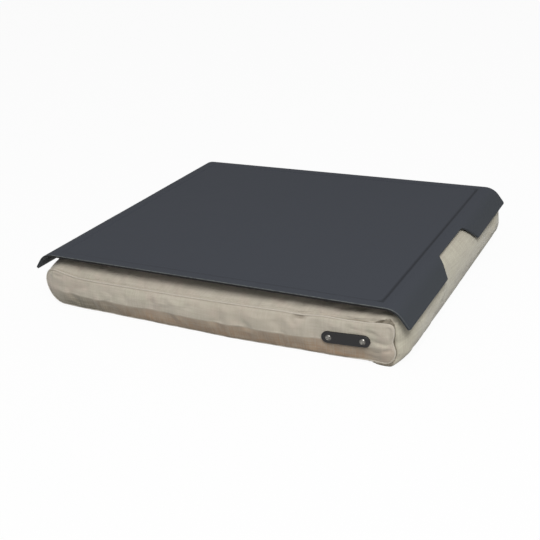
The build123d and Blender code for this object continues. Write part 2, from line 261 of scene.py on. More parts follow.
def grain_group() -> bpy.types.NodeTree:
    """The fine grain of a moulded or cast surface, as two sizes of noise.

    Returns:
        The group. Height is the relief of the grain and Cloud a slow unevenness of the finish.
    """
    cloud_scale = 9.0
    inputs = {"Vector": VECTOR, "Scale": NUMBER}
    graph, given, sink = new_group("grain", inputs, ("Height", "Cloud"))
    scaled = graph.put("ShaderNodeVectorMath", {0: given["Vector"], "Scale": given["Scale"]},
                       operation="SCALE")
    fine = graph.noise(scaled.outputs[0], 1.0, 3.0, 0.6)
    cloud = graph.noise(given["Vector"], cloud_scale, 4.0, 0.55)
    graph.feed(sink, {"Height": fine, "Cloud": cloud})
    return graph.tree


def wear_and_highlight_group() -> bpy.types.NodeTree:
    """Rubbed patches along an edge that carry a painted highlight: the edge's own mask, broken up by noise.

    Returns:
        The group. Mask is 1 where the edge is rubbed and takes the painted highlight.
    """
    patch_scale, broken_span, least = 260.0, (0.35, 0.62), 0.35
    graph, given, sink = new_group("edge_wear_and_highlight", {"Vector": VECTOR, "Edge": NUMBER}, ("Mask",))
    rough = graph.noise(given["Vector"], patch_scale, 4.0, 0.65)
    share = graph.math("ADD", least, graph.fade(rough, *broken_span))
    graph.feed(sink, {"Mask": graph.math("MULTIPLY", given["Edge"], share, clamp=True)})
    return graph.tree


@dataclass
class Groups:
    """The shared node groups, each built once."""

    weave: bpy.types.NodeTree = field(default_factory=weave_group)
    grain: bpy.types.NodeTree = field(default_factory=grain_group)
    wear_and_highlight: bpy.types.NodeTree = field(default_factory=wear_and_highlight_group)


# Finishes
def new_material(name: str) -> tuple[bpy.types.Material, Graph, bpy.types.Node]:
    """Make a material with one Principled shader.

    Args:
        name: The material's name.

    Returns:
        The material, a Graph on its tree, and the shader.
    """
    material = bpy.data.materials.new(name)
    material.use_nodes = True
    graph = Graph(material.node_tree)
    return material, graph, material.node_tree.nodes["Principled BSDF"]


@dataclass(frozen=True)
class Finish:
    """A finish, as a material with one Principled shader."""

    name: str

    def make(self, groups: Groups) -> bpy.types.Material:
        """Build the material.

        Args:
            groups: The shared node groups.

        Returns:
            The material.
        """
        material, graph, shader = new_material(self.name)
        graph.feed(shader, self.inputs(graph, groups))
        return material

    def inputs(self, graph: Graph, groups: Groups) -> dict[str, Input]:
        """Build the nodes of this finish, and give the shader's inputs by name."""
        raise NotImplementedError


@dataclass(frozen=True)
class Cloth(Finish):
    """A woven finish on a flat map in metres, with a colour, thread pitch and cloudiness."""

    colour: Colour
    shade: Colour
    pitch: float = 0.55 * MM
    cloud: float = 0.35
    cloud_scale: float = 24.0
    cloud_span: Span = (0.32, 0.7)
    slub_span: Span = (0.36, 0.64)
    slub_share: float = 0.55
    hole_colour: Colour = (0.2, 0.17, 0.14)
    hole_share: float = 0.45
    relief: float = 0.16 * MM
    roughness: float = 0.88
    sheen: float = 0.25

    def inputs(self, graph: Graph, groups: Groups) -> dict[str, Input]:
        """Build the weave and its colour.

        Args:
            graph: The material's Graph.
            groups: The shared node groups.

        Returns:
            The shader's inputs by name.
        """
        place = graph.place()
        flat = graph.put("ShaderNodeUVMap", uv_map="cloth").outputs[0]
        threads = graph.group(groups.weave, Vector=flat, Pitch=self.pitch)
        patch = graph.noise(place, self.cloud_scale, 4.0, 0.6)
        faded = graph.times(graph.fade(patch, *self.cloud_span), self.cloud)
        colour = graph.blend(faded, linear(self.colour), linear(self.shade))
        colour = self.marked(graph, colour, place)
        uneven = graph.times(graph.fade(threads["Slub"], *self.slub_span), self.slub_share)
        colour = graph.blend(uneven, colour, linear(self.shade))
        holes = graph.times(threads["Gap"], self.hole_share)
        relief = graph.math("ADD", threads["Height"], graph.times(threads["Slub"], 0.5))
        return {
            "Base Color": graph.blend(holes, colour, (*self.hole_colour, 1.0), "MULTIPLY"),
            "Normal": graph.bump(relief, 0.6, self.relief),
            "Roughness": self.roughness,
            "Specular IOR Level": 0.2,
            "Sheen Weight": self.sheen,
            "Sheen Roughness": 0.45,
        }

    def marked(self, graph: Graph, colour: Socket, place: Socket) -> Socket:
        """Give the colour with its marks and painted light and shade, of which plain cloth has none."""
        return colour


@dataclass(frozen=True)
class CoverCloth(Cloth):
    """The cover's cloth, with the tints and marks that the photograph shows.

    Places are in millimetres, and a span is the stretch over which a mark fades in or out.
    """

    tints: tuple[Colour, Colour] = ((0.708, 0.694, 0.627), (0.727, 0.675, 0.627))
    tint_scale: float = 62.0
    tint_span: Span = (0.46, 0.68)
    tint_share: float = 0.65
    # Browner tones with painted shade, for the cloth below the crease
    low_tones_and_shade: tuple[Colour, Colour] = ((0.432, 0.41, 0.345), (0.61, 0.515, 0.42))
    # The tone of painted shade in folds, beside the seams and under the tuck
    painted_shade_tone: Colour = (0.34, 0.31, 0.25)
    # A lighter tone, painted light on the wrap's right end face
    lit_end_tone: Colour = (0.735, 0.722, 0.652)
    # How much lighter the painted highlights on the crease's crest and on the tuck's roll are
    paler: float = 1.08

    # Along X
    tone_turn: Span = (-180.0, -60.0)
    left_end: Span = (-212.0, -178.0)
    right_end: Span = (172.0, 198.0)
    end_face: Span = (200.0, 219.0)
    # Where a patch of painted shade on the front panel fades in and out
    shade_patch_from: Span = (-40.0, 40.0)
    shade_patch_to: Span = (90.0, 135.0)
    corner: Span = (120.0, 200.0)

    # Above the front crease, for its painted shade and painted highlight
    shade_patch_height: Span = (18.0, 24.0)
    low_edge: Span = (-1.6, 1.1)
    low_depth: Span = (-14.0, -1.0)
    crest_highlight_from: Span = (0.4, 1.0)
    crest_highlight_to: Span = (1.2, 2.1)
    crease_wander: float = 130.0

    # Painted shade beside the seams, where the side panels are below zero
    wrap_side: Span = (-0.6, 0.6)
    outer_shade_from: Span = (0.5, 1.0)
    outer_shade_to: Span = (1.5, 2.8)
    outer_shade_height: Span = (2.0, 9.0)
    inner_shade_from: Span = (-2.1, -1.3)
    inner_shade_to: Span = (-0.9, -0.5)

    # The tuck above the seam at the front right corner, with its painted shadow and painted highlight
    tuck_rise: Span = (181.0, 207.0)
    tuck_fall: Span = (207.0, 215.0)
    tuck_height: float = 6.2
    tuck_drop: float = 4.6
    tuck_from: Span = (182.0, 187.0)
    tuck_to: Span = (211.0, 214.0)

    def marked(self, graph: Graph, colour: Socket, place: Socket) -> Socket:
        """Tint the cloth in patches, and draw the marks by the distances that its mesh carries.

        The right end face is painted lighter as painted light, and a patch of the front is darkened
        as painted shade. Below the front crease the cloth takes a browner tone with painted shade,
        which changes from left to right and deepens towards the base, and a painted highlight runs
        along the crease's crest. Folds get painted shade by their depth, and so does the cloth
        beside the seams, most of all round the front right corner.

        Args:
            graph: The material's Graph.
            colour: The colour so far.
            place: The place socket.

        Returns:
            The marked colour.
        """
        for number, tint in enumerate(self.tints):
            offset = (3.1 * number, 1.7, 0.4)
            moved = graph.put("ShaderNodeVectorMath", {0: place, 1: offset}, operation="ADD").outputs[0]
            patch = graph.fade(graph.noise(moved, self.tint_scale, 3.0, 0.55), *self.tint_span,
                               0.0, self.tint_share)
            colour = graph.blend(patch, colour, linear(tint))
        x, _, z = graph.split(place, 1 / MM)
        above, beside, hollow = (graph.put("ShaderNodeAttribute", attribute_name=name).outputs["Fac"]
                                 for name in ("crease", "seam_gap", "hollow"))
        wander = graph.math("ADD", above, graph.noise(place, self.crease_wander))
        ends = graph.times(graph.fade(x, *self.left_end, 0.3, 1.0), graph.fade(x, *self.right_end, 1.0, 0.32))
        # Painted light: the wrap's right end face is blended towards a lighter tone.
        painted_light_end = graph.times(graph.fade(x, *self.end_face, 0.0, 0.85), graph.fade(beside, *self.wrap_side))
        colour = graph.blend(painted_light_end, colour, linear(self.lit_end_tone))
        # Painted shade: a broad patch of the front panel, up to about 20 mm above the crease, is darkened.
        painted_shade_patch = graph.times(graph.fade(x, *self.shade_patch_from), graph.fade(x, *self.shade_patch_to, 0.42, 0.0),
                             graph.fade(above, *self.shade_patch_height, 1.0, 0.0))
        colour = graph.blend(painted_shade_patch, colour, linear(self.shade))
        # Below the crease: painted shade where the cloth turns under, deepening towards the base, with a
        # browner tone that changes from left to right.
        tone = graph.blend(graph.fade(x, *self.tone_turn), *[linear(part) for part in self.low_tones_and_shade])
        low = graph.times(graph.fade(wander, *self.low_edge, 0.88, 0.0), ends,
                          graph.fade(above, *self.low_depth, 1.13, 0.76))
        colour = graph.blend(low, colour, tone)
        # Painted highlight along the crease's crest, in a lighter copy of the cloth's colour
        pale = linear(tuple(min(1.0, self.paler * part) for part in self.colour))
        crest = graph.times(graph.band(wander, self.crest_highlight_from, self.crest_highlight_to, 0.5), ends)
        colour = graph.blend(crest, colour, pale)
        # Painted shade in the folds, by how deep they are
        painted_shade_tone = linear(self.painted_shade_tone)
        colour = graph.blend(graph.fade(hollow, 0.2, 1.8, 0.0, 0.5), colour, painted_shade_tone)
        colour = self.tucked(graph, colour, x, beside, pale)
        # Painted shade beside the seams: in the groove on the wrap's side, most round the front right corner,
        # and in a thin line on the side panels.
        corner = graph.fade(x, *self.corner)
        outside = graph.times(graph.band(beside, self.outer_shade_from, self.outer_shade_to),
                              graph.math("MULTIPLY_ADD", corner, 0.72, 0.1),
                              graph.fade(z, *self.outer_shade_height, 0.1, 1.0))
        inside = graph.times(graph.band(beside, self.inner_shade_from, self.inner_shade_to, 0.4),
                             graph.math("SUBTRACT", 1.0, corner))
        return graph.blend(graph.math("MAXIMUM", outside, inside), colour, painted_shade_tone)

    def tucked(self, graph: Graph, colour: Socket, x: Socket, beside: Socket, pale: Input) -> Socket:
        """Paint the shadow of the tuck above the seam near the front right corner.

        Its upper edge rises from the seam in a straight line, and falls again more steeply,
        and a painted highlight marks the roll of cloth along it.

        Args:
            graph: The material's Graph.
            colour: The colour so far.
            x: The place along X in millimetres.
            beside: The distance from the seam in millimetres.
            pale: The colour of the roll's painted highlight.

        Returns:
            The colour with the tuck.
        """
        rise = graph.fade(x, *self.tuck_rise, 0.0, self.tuck_height, "LINEAR")
        fall = graph.fade(x, *self.tuck_fall, 0.0, self.tuck_drop, "LINEAR")
        edge = graph.math("SUBTRACT", beside, graph.math("SUBTRACT", rise, fall))
        reach = graph.band(x, self.tuck_from, self.tuck_to)
        # Painted shadow under the tuck's edge, and a painted highlight on its roll
        dark = graph.times(graph.fade(edge, -0.5, 0.2, 0.85, 0.0), graph.fade(beside, 0.1, 0.5), reach)
        roll = graph.times(graph.band(edge, (0.1, 0.6), (1.0, 2.4), 0.7), reach)
        return graph.blend(roll, graph.blend(dark, colour, linear(self.painted_shade_tone)), pale)


@dataclass(frozen=True)
class Fitting(Finish):
    """A small metal part, brushed by handling."""

    metal: Metal
    grain_scale: float = 900.0
    darker: float = 0.72
    relief: float = 0.05 * MM

    def inputs(self, graph: Graph, groups: Groups) -> dict[str, Input]:
        """Build the brushed metal.

        Args:
            graph: The material's Graph.
            groups: The shared node groups.

        Returns:
            The shader's inputs by name.
        """
        colour, roughness = self.metal.value
        grain = graph.group(groups.grain, Vector=graph.place(), Scale=self.grain_scale)["Height"]
        dark = linear(tuple(self.darker * part for part in colour))
        return {
            "Base Color": graph.blend(graph.fade(grain, 0.35, 0.75), linear(colour), dark),
            "Roughness": graph.fade(grain, 0.3, 0.8, roughness - 0.06, roughness + 0.14),
            "Normal": graph.bump(grain, 0.25, self.relief),
            "Metallic": 1.0,
        }


@dataclass(frozen=True)
class Moulded(Finish):
    """A moulded or cut sheet of plastic, with a fine grain."""

    colour: Colour
    light: Colour
    roughness: float
    grain_scale: float = 1500.0
    relief: float = 0.03 * MM
    cloud: float = 0.35

    def inputs(self, graph: Graph, groups: Groups) -> dict[str, Input]:
        """Build the grained plastic.

        Args:
            graph: The material's Graph.
            groups: The shared node groups.

        Returns:
            The shader's inputs by name.
        """
        grain = graph.group(groups.grain, Vector=graph.place(), Scale=self.grain_scale)
        cloud = graph.times(graph.fade(grain["Cloud"], 0.3, 0.75), self.cloud)
        rough = graph.fade(grain["Cloud"], 0.25, 0.8, self.roughness - 0.05, self.roughness + 0.07)
        return {
            "Base Color": graph.blend(cloud, linear(self.colour), linear(self.light)),
            "Roughness": rough,
            "Normal": graph.bump(grain["Height"], 0.35, self.relief),
        }


@dataclass(frozen=True, kw_only=True)
class Lacquer(Moulded):
    """The tray's lacquer: rubbed rims with a painted highlight, dark cut edges, painted shade in the recess
    line.

    Lengths are in millimetres. The strip along each long edge runs from the recess to the cut.
    """

    half_depth: float
    recess: Span
    riser: float
    rim_span: Span = (0.9, 0.5)
    cut_span: Span = (0.12, 0.04)
    # The rims' lighter colour, for rubbed wear and a painted highlight along them
    rubbed: Colour = (0.40, 0.42, 0.41)
    cut: Colour = (0.12, 0.115, 0.115)
    # The colour of the recess line's painted shade
    line: Colour = (0.172, 0.182, 0.202)
    lip: Colour = (0.231, 0.246, 0.26)
    lip_span: Span = (206.0, 226.0)
    lit_left: Span = (-160.0, -40.0)

    def inputs(self, graph: Graph, groups: Groups) -> dict[str, Input]:
        """Build the lacquer, its rims' painted highlight and dark edges, and the recess line's painted shade.

        Args:
            graph: The material's Graph.
            groups: The shared node groups.

        Returns:
            The shader's inputs by name.
        """
        made = super().inputs(graph, groups)
        place = graph.place()
        x, y, _ = graph.split(place, 1 / MM)
        wide, deep = graph.math("ABSOLUTE", x), graph.math("ABSOLUTE", y)
        rim, cut = (tuple(self.half_depth - part for part in span) for span in (self.rim_span, self.cut_span))
        # The rims' light line: rubbed wear and a painted highlight
        rim_wear_and_highlight = graph.group(groups.wear_and_highlight, Vector=place, Edge=graph.band(deep, rim, cut))["Mask"]
        colour = graph.blend(graph.times(rim_wear_and_highlight, 0.65), made["Base Color"], linear(self.rubbed))
        colour = graph.blend(graph.fade(deep, *cut), colour, linear(self.cut))
        # Painted shade along the recess's riser, weaker on the left
        inside_x, inside_y = (graph.math("SUBTRACT", part, half)
                              for part, half in zip((wide, deep), self.recess))
        gap = graph.math("MAXIMUM", inside_x, inside_y)
        line = graph.times(graph.band(gap, (-self.riser - 2.2, -self.riser + 1.2), (-1.2, 1.2)),
                           graph.fade(inside_x, -self.riser - 6, -self.riser, 0.25, 1.0),
                           graph.fade(x, *self.lit_left, 0.15, 1.0))
        colour = graph.blend(line, colour, linear(self.line))
        colour = graph.blend(graph.fade(wide, *self.lip_span, 0.0, 0.7), colour, linear(self.lip))
        return made | {"Base Color": colour, "Specular IOR Level": 0.15}


@dataclass(frozen=True)
class Pile(Finish):
    """Hook or loop tape: a stiff or fuzzy pile that noise raises."""

    colour: Colour
    nap: Nap
    darker: float = 0.45
    relief: float = 0.4 * MM

    def inputs(self, graph: Graph, groups: Groups) -> dict[str, Input]:
        """Build the pile.

        Args:
            graph: The material's Graph.
            groups: The shared node groups, which are not used here.

        Returns:
            The shader's inputs by name.
        """
        place = graph.place()
        if self.nap is Nap.HOOKS:
            dots = graph.put("ShaderNodeTexVoronoi", {"Vector": place, "Scale": 700.0, "Randomness": 0.35})
            height = graph.fade(dots.outputs["Distance"], 0.1, 0.5, 1.0, 0.0)
        else:
            height = graph.noise(place, 1400.0, 5.0, 0.75)
        dark = linear(tuple(self.darker * part for part in self.colour))
        roughness, sheen = self.nap.value
        return {
            "Base Color": graph.blend(graph.fade(height, 0.25, 0.75), dark, linear(self.colour)),
            "Normal": graph.bump(height, 0.9, self.relief),
            "Roughness": roughness,
            "Sheen Weight": sheen,
        }


# Meshes
def read(items: bpy.types.bpy_prop_collection, name: str, width: int = 1,
         kind: type = np.float32) -> np.ndarray:
    """Read one value of all of a mesh's points, edges, faces or corners.

    Args:
        items: The collection.
        name: The value's name.
        width: How many numbers it has.
        kind: Their type.

    Returns:
        One row for each item, or one number where the width is 1.
    """
    values = np.empty(len(items) * width, kind)
    items.foreach_get(name, values)
    return values.reshape(-1, width) if width > 1 else values


def write_points(mesh: bpy.types.Mesh, points: np.ndarray) -> None:
    """Move a mesh's points to new places in metres."""
    mesh.vertices.foreach_set("co", points.astype(np.float32).ravel())
    mesh.update()


def set_map(mesh: bpy.types.Mesh, values: np.ndarray) -> None:
    """Give a mesh its flat map in metres, one row of two numbers for each face corner."""
    mesh.uv_layers.new(name="cloth").uv.foreach_set("vector", values.astype(np.float32).ravel())


def new_piece(name: str, points: np.ndarray, faces: np.ndarray, material: bpy.types.Material,
              flat: np.ndarray | None = None) -> bpy.types.Object:
    """Make one finished piece of the cushion from arrays of points and faces.

    Args:
        name: The piece's name.
        points: Its points, one row each, in metres.
        faces: Its faces, as rows of four point numbers.
        material: Its finish.
        flat: Its flat map, where it has one.

    Returns:
        The object, at the origin.
    """
    mesh = bpy.data.meshes.new(name)
    mesh.from_pydata(points.tolist(), [], faces.tolist())
    mesh.materials.append(material)
    mesh.polygons.foreach_set("use_smooth", np.ones(len(faces), bool))
    mesh.update()
    piece = bpy.data.objects.new(name, mesh)
    bpy.context.scene.collection.objects.link(piece)
    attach(piece, "cushion")
    if flat is not None:
        set_map(mesh, flat)
    LOG.info("%s: %d faces", name, len(faces))
    return piece


def grid_faces(rows: int, columns: int, close_rows: bool = False, close_columns: bool = False) -> np.ndarray:
    """Faces of a grid of points that is numbered row by row.

    Args:
        rows: How many rows of points.
        columns: How many points in a row.
        close_rows: Whether the last row joins the first.
        close_columns: Whether each row's last point joins its first.

    Returns:
        One row of four point numbers for each face.
    """
    down = np.arange(rows if close_rows else rows - 1)[:, None]
    over = np.arange(columns if close_columns else columns - 1)[None, :]
    next_down = (down + 1) % rows
    next_over = (over + 1) % columns
    corners = (down * columns + over, down * columns + next_over,
               next_down * columns + next_over, next_down * columns + over)
    return np.stack(np.broadcast_arrays(*corners), -1).reshape(-1, 4)


def unit(vectors: np.ndarray) -> np.ndarray:
    """Vectors at a length of one."""
    return vectors / np.linalg.norm(vectors, axis=-1, keepdims=True)


def smooth_between(x: np.ndarray, places: Sequence[Span], width: float) -> np.ndarray:
    """A value at each place, read from a few named ones and rounded off.

    The straight lines between the named values are averaged over a window, by five samples
    on each side with the weights of a bell curve.

    Args:
        x: Where the value is wanted.
        places: Pairs of place and value, in order.
        width: Half the window.

    Returns:
        The values.
    """
    at, values = (np.array(part) for part in zip(*places))
    steps = np.linspace(-1, 1, 11)
    weights = np.exp(-3 * steps**2)
    samples = np.interp(x[..., None] + steps * width, at, values)
    return (samples * weights).sum(-1) / weights.sum()


def ramp(x: np.ndarray, start: float, length: float) -> np.ndarray:
    """A straight rise from 0 to 1 that starts at a place and takes a length."""
    return np.clip((x - start) / length, 0, 1)


def fill(share: np.ndarray, drawn: float, full: float, power: int) -> np.ndarray:
    """A size that fills from the drawn-in seam line to the full body, by a power of its share."""
    return drawn + (full - drawn) * (1 - (1 - share) ** power)


def arc(count: int) -> np.ndarray:
    """The share of an arc at each of its points, without its end, as one row."""
    return (np.arange(count) / count)[None, :]


@dataclass(frozen=True)
class Fold:
    """A crease or a ridge between two points of the cover.

    The cloth moves along its own normal by the depth, times a bell curve of the distance to
    the line, which a wider and weaker bell of the other sign frames, and fades at both ends.
    """

    start: Point
    end: Point
    depth: float
    width: float

    def shift(self, points: np.ndarray) -> np.ndarray:
        """Work the fold out at some points.

        Args:
            points: The points in metres.

        Returns:
            How far each point moves outwards, in metres.
        """
        start, end = np.array(self.start) * MM, np.array(self.end) * MM
        line = end - start
        along = ((points - start) @ line) / (line @ line)
        nearest = start + np.clip(along, 0, 1)[:, None] * line
        distance = np.linalg.norm(points - nearest, axis=1) / (self.width * MM)
        fade = np.sin(np.pi * np.clip(0.12 + 0.76 * along, 0, 1)) ** 0.7
        bell = 1.25 * np.exp(-distance**2) - 0.25 * np.exp(-(distance / 2.2) ** 2)
        return -self.depth * MM * bell * fade


@dataclass(frozen=True)
class EndLine:
    """One short end of the line round the cushion: a shoulder arc, a side arc and a foot arc.

    Each value is a pair, first on the seam that draws the end in and then in the full body.
    """

    half_width: Span
    angle: Span
    side: Span
    foot: Span

    def at(self, share: np.ndarray, inset: float) -> np.ndarray:
        """The end's sizes at each row.

        The width fills with a cube of the row's share, the foot with a square, and the angle
        and the side radius in step with it.

        Args:
            share: How far each row is on its way from the seam to the full body.
            inset: How far inside the cover's face the form lies, in millimetres.

        Returns:
            The half width, the angle from the upright where shoulder and side meet, the side
            radius and the foot radius, stacked.
        """
        return np.stack([fill(share, *self.half_width, 3) - inset, np.radians(fill(share, *self.angle, 1)),
                         fill(share, *self.side, 1) - inset, fill(share, *self.foot, 2) - inset])


class Form:
    """The settled cover's mesh, read into arrays with its points in metres.

    Quads, parts and flat hold each face's corners, panel and flat map. Seam gap and hollow are
    each point's distance from the seams and depth in a fold, in millimetres.
    """

    def __init__(self, mesh: bpy.types.Mesh) -> None:
        """Read the mesh.

        Args:
            mesh: The mesh, all of quads, with each face's panel as its material's number.
        """
        self.mesh = mesh
        self.points = read(mesh.vertices, "co", 3).astype(float)
        self.normals = read(mesh.vertex_normals, "vector", 3).astype(float)
        self.quads = read(mesh.loops, "vertex_index", 1, np.int32).reshape(-1, 4)
        self.parts = read(mesh.polygons, "material_index", 1, np.int32)
        self.flat = read(mesh.uv_layers["cloth"].uv, "vector", 2).reshape(-1, 4, 2)
        self.seam_gap = np.zeros(len(self.points))
        self.hollow = np.zeros(len(self.points))

    def move(self, points: np.ndarray) -> None:
        """Move the points, and work the normals out again.

        Args:
            points: The new places in metres.
        """
        self.points = points
        write_points(self.mesh, points)
        self.normals = read(self.mesh.vertex_normals, "vector", 3).astype(float)


@dataclass
class Cushion:
    """The sewn cover, its stitching, and what is inside it. Lengths are in millimetres."""

    # Places of the seams and flats
    front_seam: float = -187.5
    rear_seam: float = 183.5
    rear_face: float = 187.3
    top: float = 60.1
    draw_in: float = 36.0

    # The lines that the seams draw, as seen from the front
    front_right_end: EndLine = EndLine((214.5, 226.4), (8.0, 20.0), (185.0, 60.0), (11.0, 25.0))
    rear_right_end: EndLine = EndLine((224.2, 226.4), (8.0, 20.0), (185.0, 60.0), (15.0, 21.5))
    front_left_end: EndLine = EndLine((221.2, 227.0), (30.0, 30.0), (20.0, 29.0), (25.0, 27.0))
    rear_left_end: EndLine = EndLine((224.2, 227.0), (8.0, 30.0), (185.0, 22.0), (15.0, 22.0))
    seam_low: float = 3.5
    seam_high: float = 46.5
    seam_sag: float = -6.0
    seam_reach: float = 204.5
    left_seam_back: float = 3.0
    left_seam_from: float = 185.0
    front_seam_heights: Places = ((-206, 45.5), (-172, 39.6), (-140, 38.6), (-45, 39.2), (30, 40.4),
                                  (92, 42.4), (112, 41.6), (140, 44.6), (160, 43.9), (184, 44.4),
                                  (202, 46.4))
    rear_seam_heights: Places = ((-206, 45.5), (-120, 41.4), (-20, 40.6), (90, 41.6), (206, 46))
    corner_seam_wander: Places = ((3, -2.4), (10, -1.7), (17, -0.4), (27, -4.6), (34, -1.4), (41, 0.0))
    front_swell: Places = ((-214, 2.4), (-190, 3.2), (-144, 4.2), (-60, 6.2), (30, 7.2), (100, 5.6),
                           (128, 4.1), (188, 3.9), (205, 5.2), (214, 4.4))
    rear_swell: float = 3.8
    front_hem: Places = ((-200, 0.6), (-150, 0.8), (-40, 1.9), (30, 3.0), (100, 1.6), (180, 0.2), (214, 0.2))
    front_drop: Places = ((-214, 0.2), (-190, 0.5), (-145, 1.0), (-60, 1.3), (165, 1.6), (188, 0.4), (214, 0))
    pouch_from: float = 172.0
    pouch_forward: float = 5.2
    crease_height: float = 19.8
    crease_hold: float = 1.5
    crease_rise: Places = ((-214, 3.6), (-192, 1.8), (-170, 0.4), (-145, 0.1), (60, 0.0), (214, 0.6))
    slot_low: float = 17.0
    slot_high: float = 28.0
    zip_height: float = 22.5
    slot_half_length: float = 180.0
    label_place: Span = (163.3, 24.7)
    label_half: Span = (26.2, 7.6)
    label_back: float = -191.45

    # How far the cloth sinks beside each seam, and rises on the panel's edge
    front_groove: Places = ((-214, 0.5), (-100, 0.35), (60, 0.4), (110, 0.8), (160, 1.3), (214, 1.7))
    rear_groove: Places = ((-214, 0.8), (214, 0.8))
    groove_from_seam: float = 1.9
    groove_width: float = 1.1
    ridge_share: float = -0.35
    seam_calm: float = 1.6

    # Counts of the grid
    top_columns: int = 96
    shoulder_columns: int = 8
    side_columns: int = 8
    foot_columns: int = 8
    corner_columns: int = 4
    middle_rows: int = 26
    row_places: tuple[float, ...] = (0, 1.7, 3.6, 6.2, 9.5, 13.5, 18.5, 24.5, 31.5, 40)
    crease_rows: tuple[int, int, int] = (5, 6, 7)
    slot_rows: tuple[int, int, int] = (5, 7, 9)
    seam_level: float = 9.0

    # How the forms run from the seams to the full body
    crown_rise: float = 0.9
    crown: float = 0.3
    ends_turn: Span = (20.0, 110.0)
    upper_part: Span = (0.55, 0.4)
    pouch_height: float = 15.0
    pouch_fade: float = 11.0
    pouch_length: float = 28.0
    pouch_start: float = 1.2
    pouch_end: float = 14.0
    panel_bend: float = 26.0
    base_share: float = 0.12
    swell_heights: tuple[tuple[float, ...], ...] = ((0, 0.1, 0.3, 1), (0, 0.62, 0.86, 1))
    swell_ends: float = 15.0
    rear_swell_edge: float = 9.0
    swell_power: float = 2.5
    corner_seam: Span = (200.0, 10.0)
    hem_height: float = 14.0
    hem_fade: float = 10.0
    hem_fall: float = 0.6
    hem_limit: float = 3.0

    # What is held while the cloth settles, as half sizes along X and Y
    strip_middle: float = 150.0
    strip_half: Span = (14.0, 146.0)
    base_half: Span = (185.0, 150.0)
    hold_reach: float = 0.1

    # Where folds and wrinkles stay off, and the flats under the strips and behind the label
    zip_half: float = 7.5
    label_fade: float = 3.0
    label_rim: float = 2.5
    strip_face: Span = (12.0, 143.0)
    strip_gap: float = 0.05
    calm_height: float = 1.5
    fold_top: float = 1.5

    # The cloth simulation
    frames: int = 20
    stiffness: float = 14.0
    shear: float = 5.0
    bending: float = 0.35
    pressure: float = 4.0
    shrink: float = -0.018
    thread_mass: float = 0.12
    settle_top: float = 1.2

    # Sewing
    wall: float = 1.2
    settle_reach: float = 4.0
    settle_inward: float = 0.6
    liner_inset: float = 4.5
    filling_inset: float = 6.0
    bead_radius: float = 0.85
    bead_lift: float = -0.15
    bead_sides: int = 10
    stitch_pitch: float = 4.2
    stitch_from_seam: float = 3.0
    stitch_radius: float = 0.32
    stitch_half: float = 1.68
    stitch_rings: int = 7
    stitch_search: float = 4.0

    @property
    def across(self) -> int:
        """Columns of a long side panel."""
        return self.top_columns + 2 * self.corner_columns

    @property
    def upward(self) -> int:
        """Rows of a long side panel."""
        arcs = self.shoulder_columns + self.side_columns + self.foot_columns
        return arcs - 2 * self.corner_columns

    @property
    def seam_points(self) -> int:
        """Points of a seam's closed line, before the subdivision."""
        return 2 * (self.across + self.upward)

    def outline(self, right: np.ndarray, left: np.ndarray, low: np.ndarray, high: np.ndarray,
                crown: np.ndarray) -> tuple[np.ndarray, np.ndarray]:
        """Closed lines round the cushion, one for each row of the arguments.

        Each line is a shallow top curve, and at each end a shoulder arc, a side arc and a foot
        arc that run into each other, over a straight base. Columns go clockwise from the
        upper left corner of a side panel, seen from the front.

        Args:
            right: The right end's sizes, as EndLine gives them.
            left: The same for the left end.
            low: Height of the base.
            high: Height of the shoulders' crests.
            crown: How far the middle of the top stands above the crests.

        Returns:
            X and Z of each point, as rows by columns.
        """
        right_x, right_z, right_crest, right_base = self.end_arcs(right, low, high)
        left_x, left_z, left_crest, left_base = self.end_arcs(left, low, high)
        share = arc(self.top_columns)
        top_x = -left_crest + share * (right_crest + left_crest)
        top_z = high + crown * (1 - (2 * share - 1) ** 2)
        base_x = right_base - share * (right_base + left_base)
        base_z = low + 0 * share
        close_x = np.hstack([-left_x[:, 1:], -left_base])[:, ::-1]
        close_z = np.hstack([left_z[:, 1:], low])[:, ::-1]
        x = np.hstack([top_x, right_x, base_x, close_x])
        z = np.hstack([top_z, right_z, base_z, close_z])
        return np.roll(x, self.corner_columns, 1), np.roll(z, self.corner_columns, 1)

    def end_arcs(self, sizes: np.ndarray, low: np.ndarray, high: np.ndarray) -> tuple[np.ndarray, ...]:
        """One end of the outline, from its crest down to its base.

        The shoulder arc takes the height that the side arc and the foot arc leave.

        Args:
            sizes: The end's sizes, as EndLine gives them.
            low: Height of the base.
            high: Height of the crest.

        Returns:
            X and Z of each point, as rows by columns, and X where crest and base begin.
        """
        half, angle, side, foot = sizes
        rise, run = np.sin(angle), np.cos(angle)
        shoulder = (high - low - side * rise - foot) / (1 - rise)
        crest = half - side * (1 - run) - shoulder * run
        turn = np.pi / 2 - arc(self.shoulder_columns) * (np.pi / 2 - angle)
        lean = angle * (1 - arc(self.side_columns))
        curl = -np.pi / 2 * arc(self.foot_columns)
        x = np.hstack([crest + shoulder * np.cos(turn), half - side + side * np.cos(lean),
                       half - foot + foot * np.cos(curl)])
        z = np.hstack([high - shoulder + shoulder * np.sin(turn), low + foot + side * np.sin(lean),
                       low + foot + foot * np.sin(curl)])
        return x, z, crest, half - foot

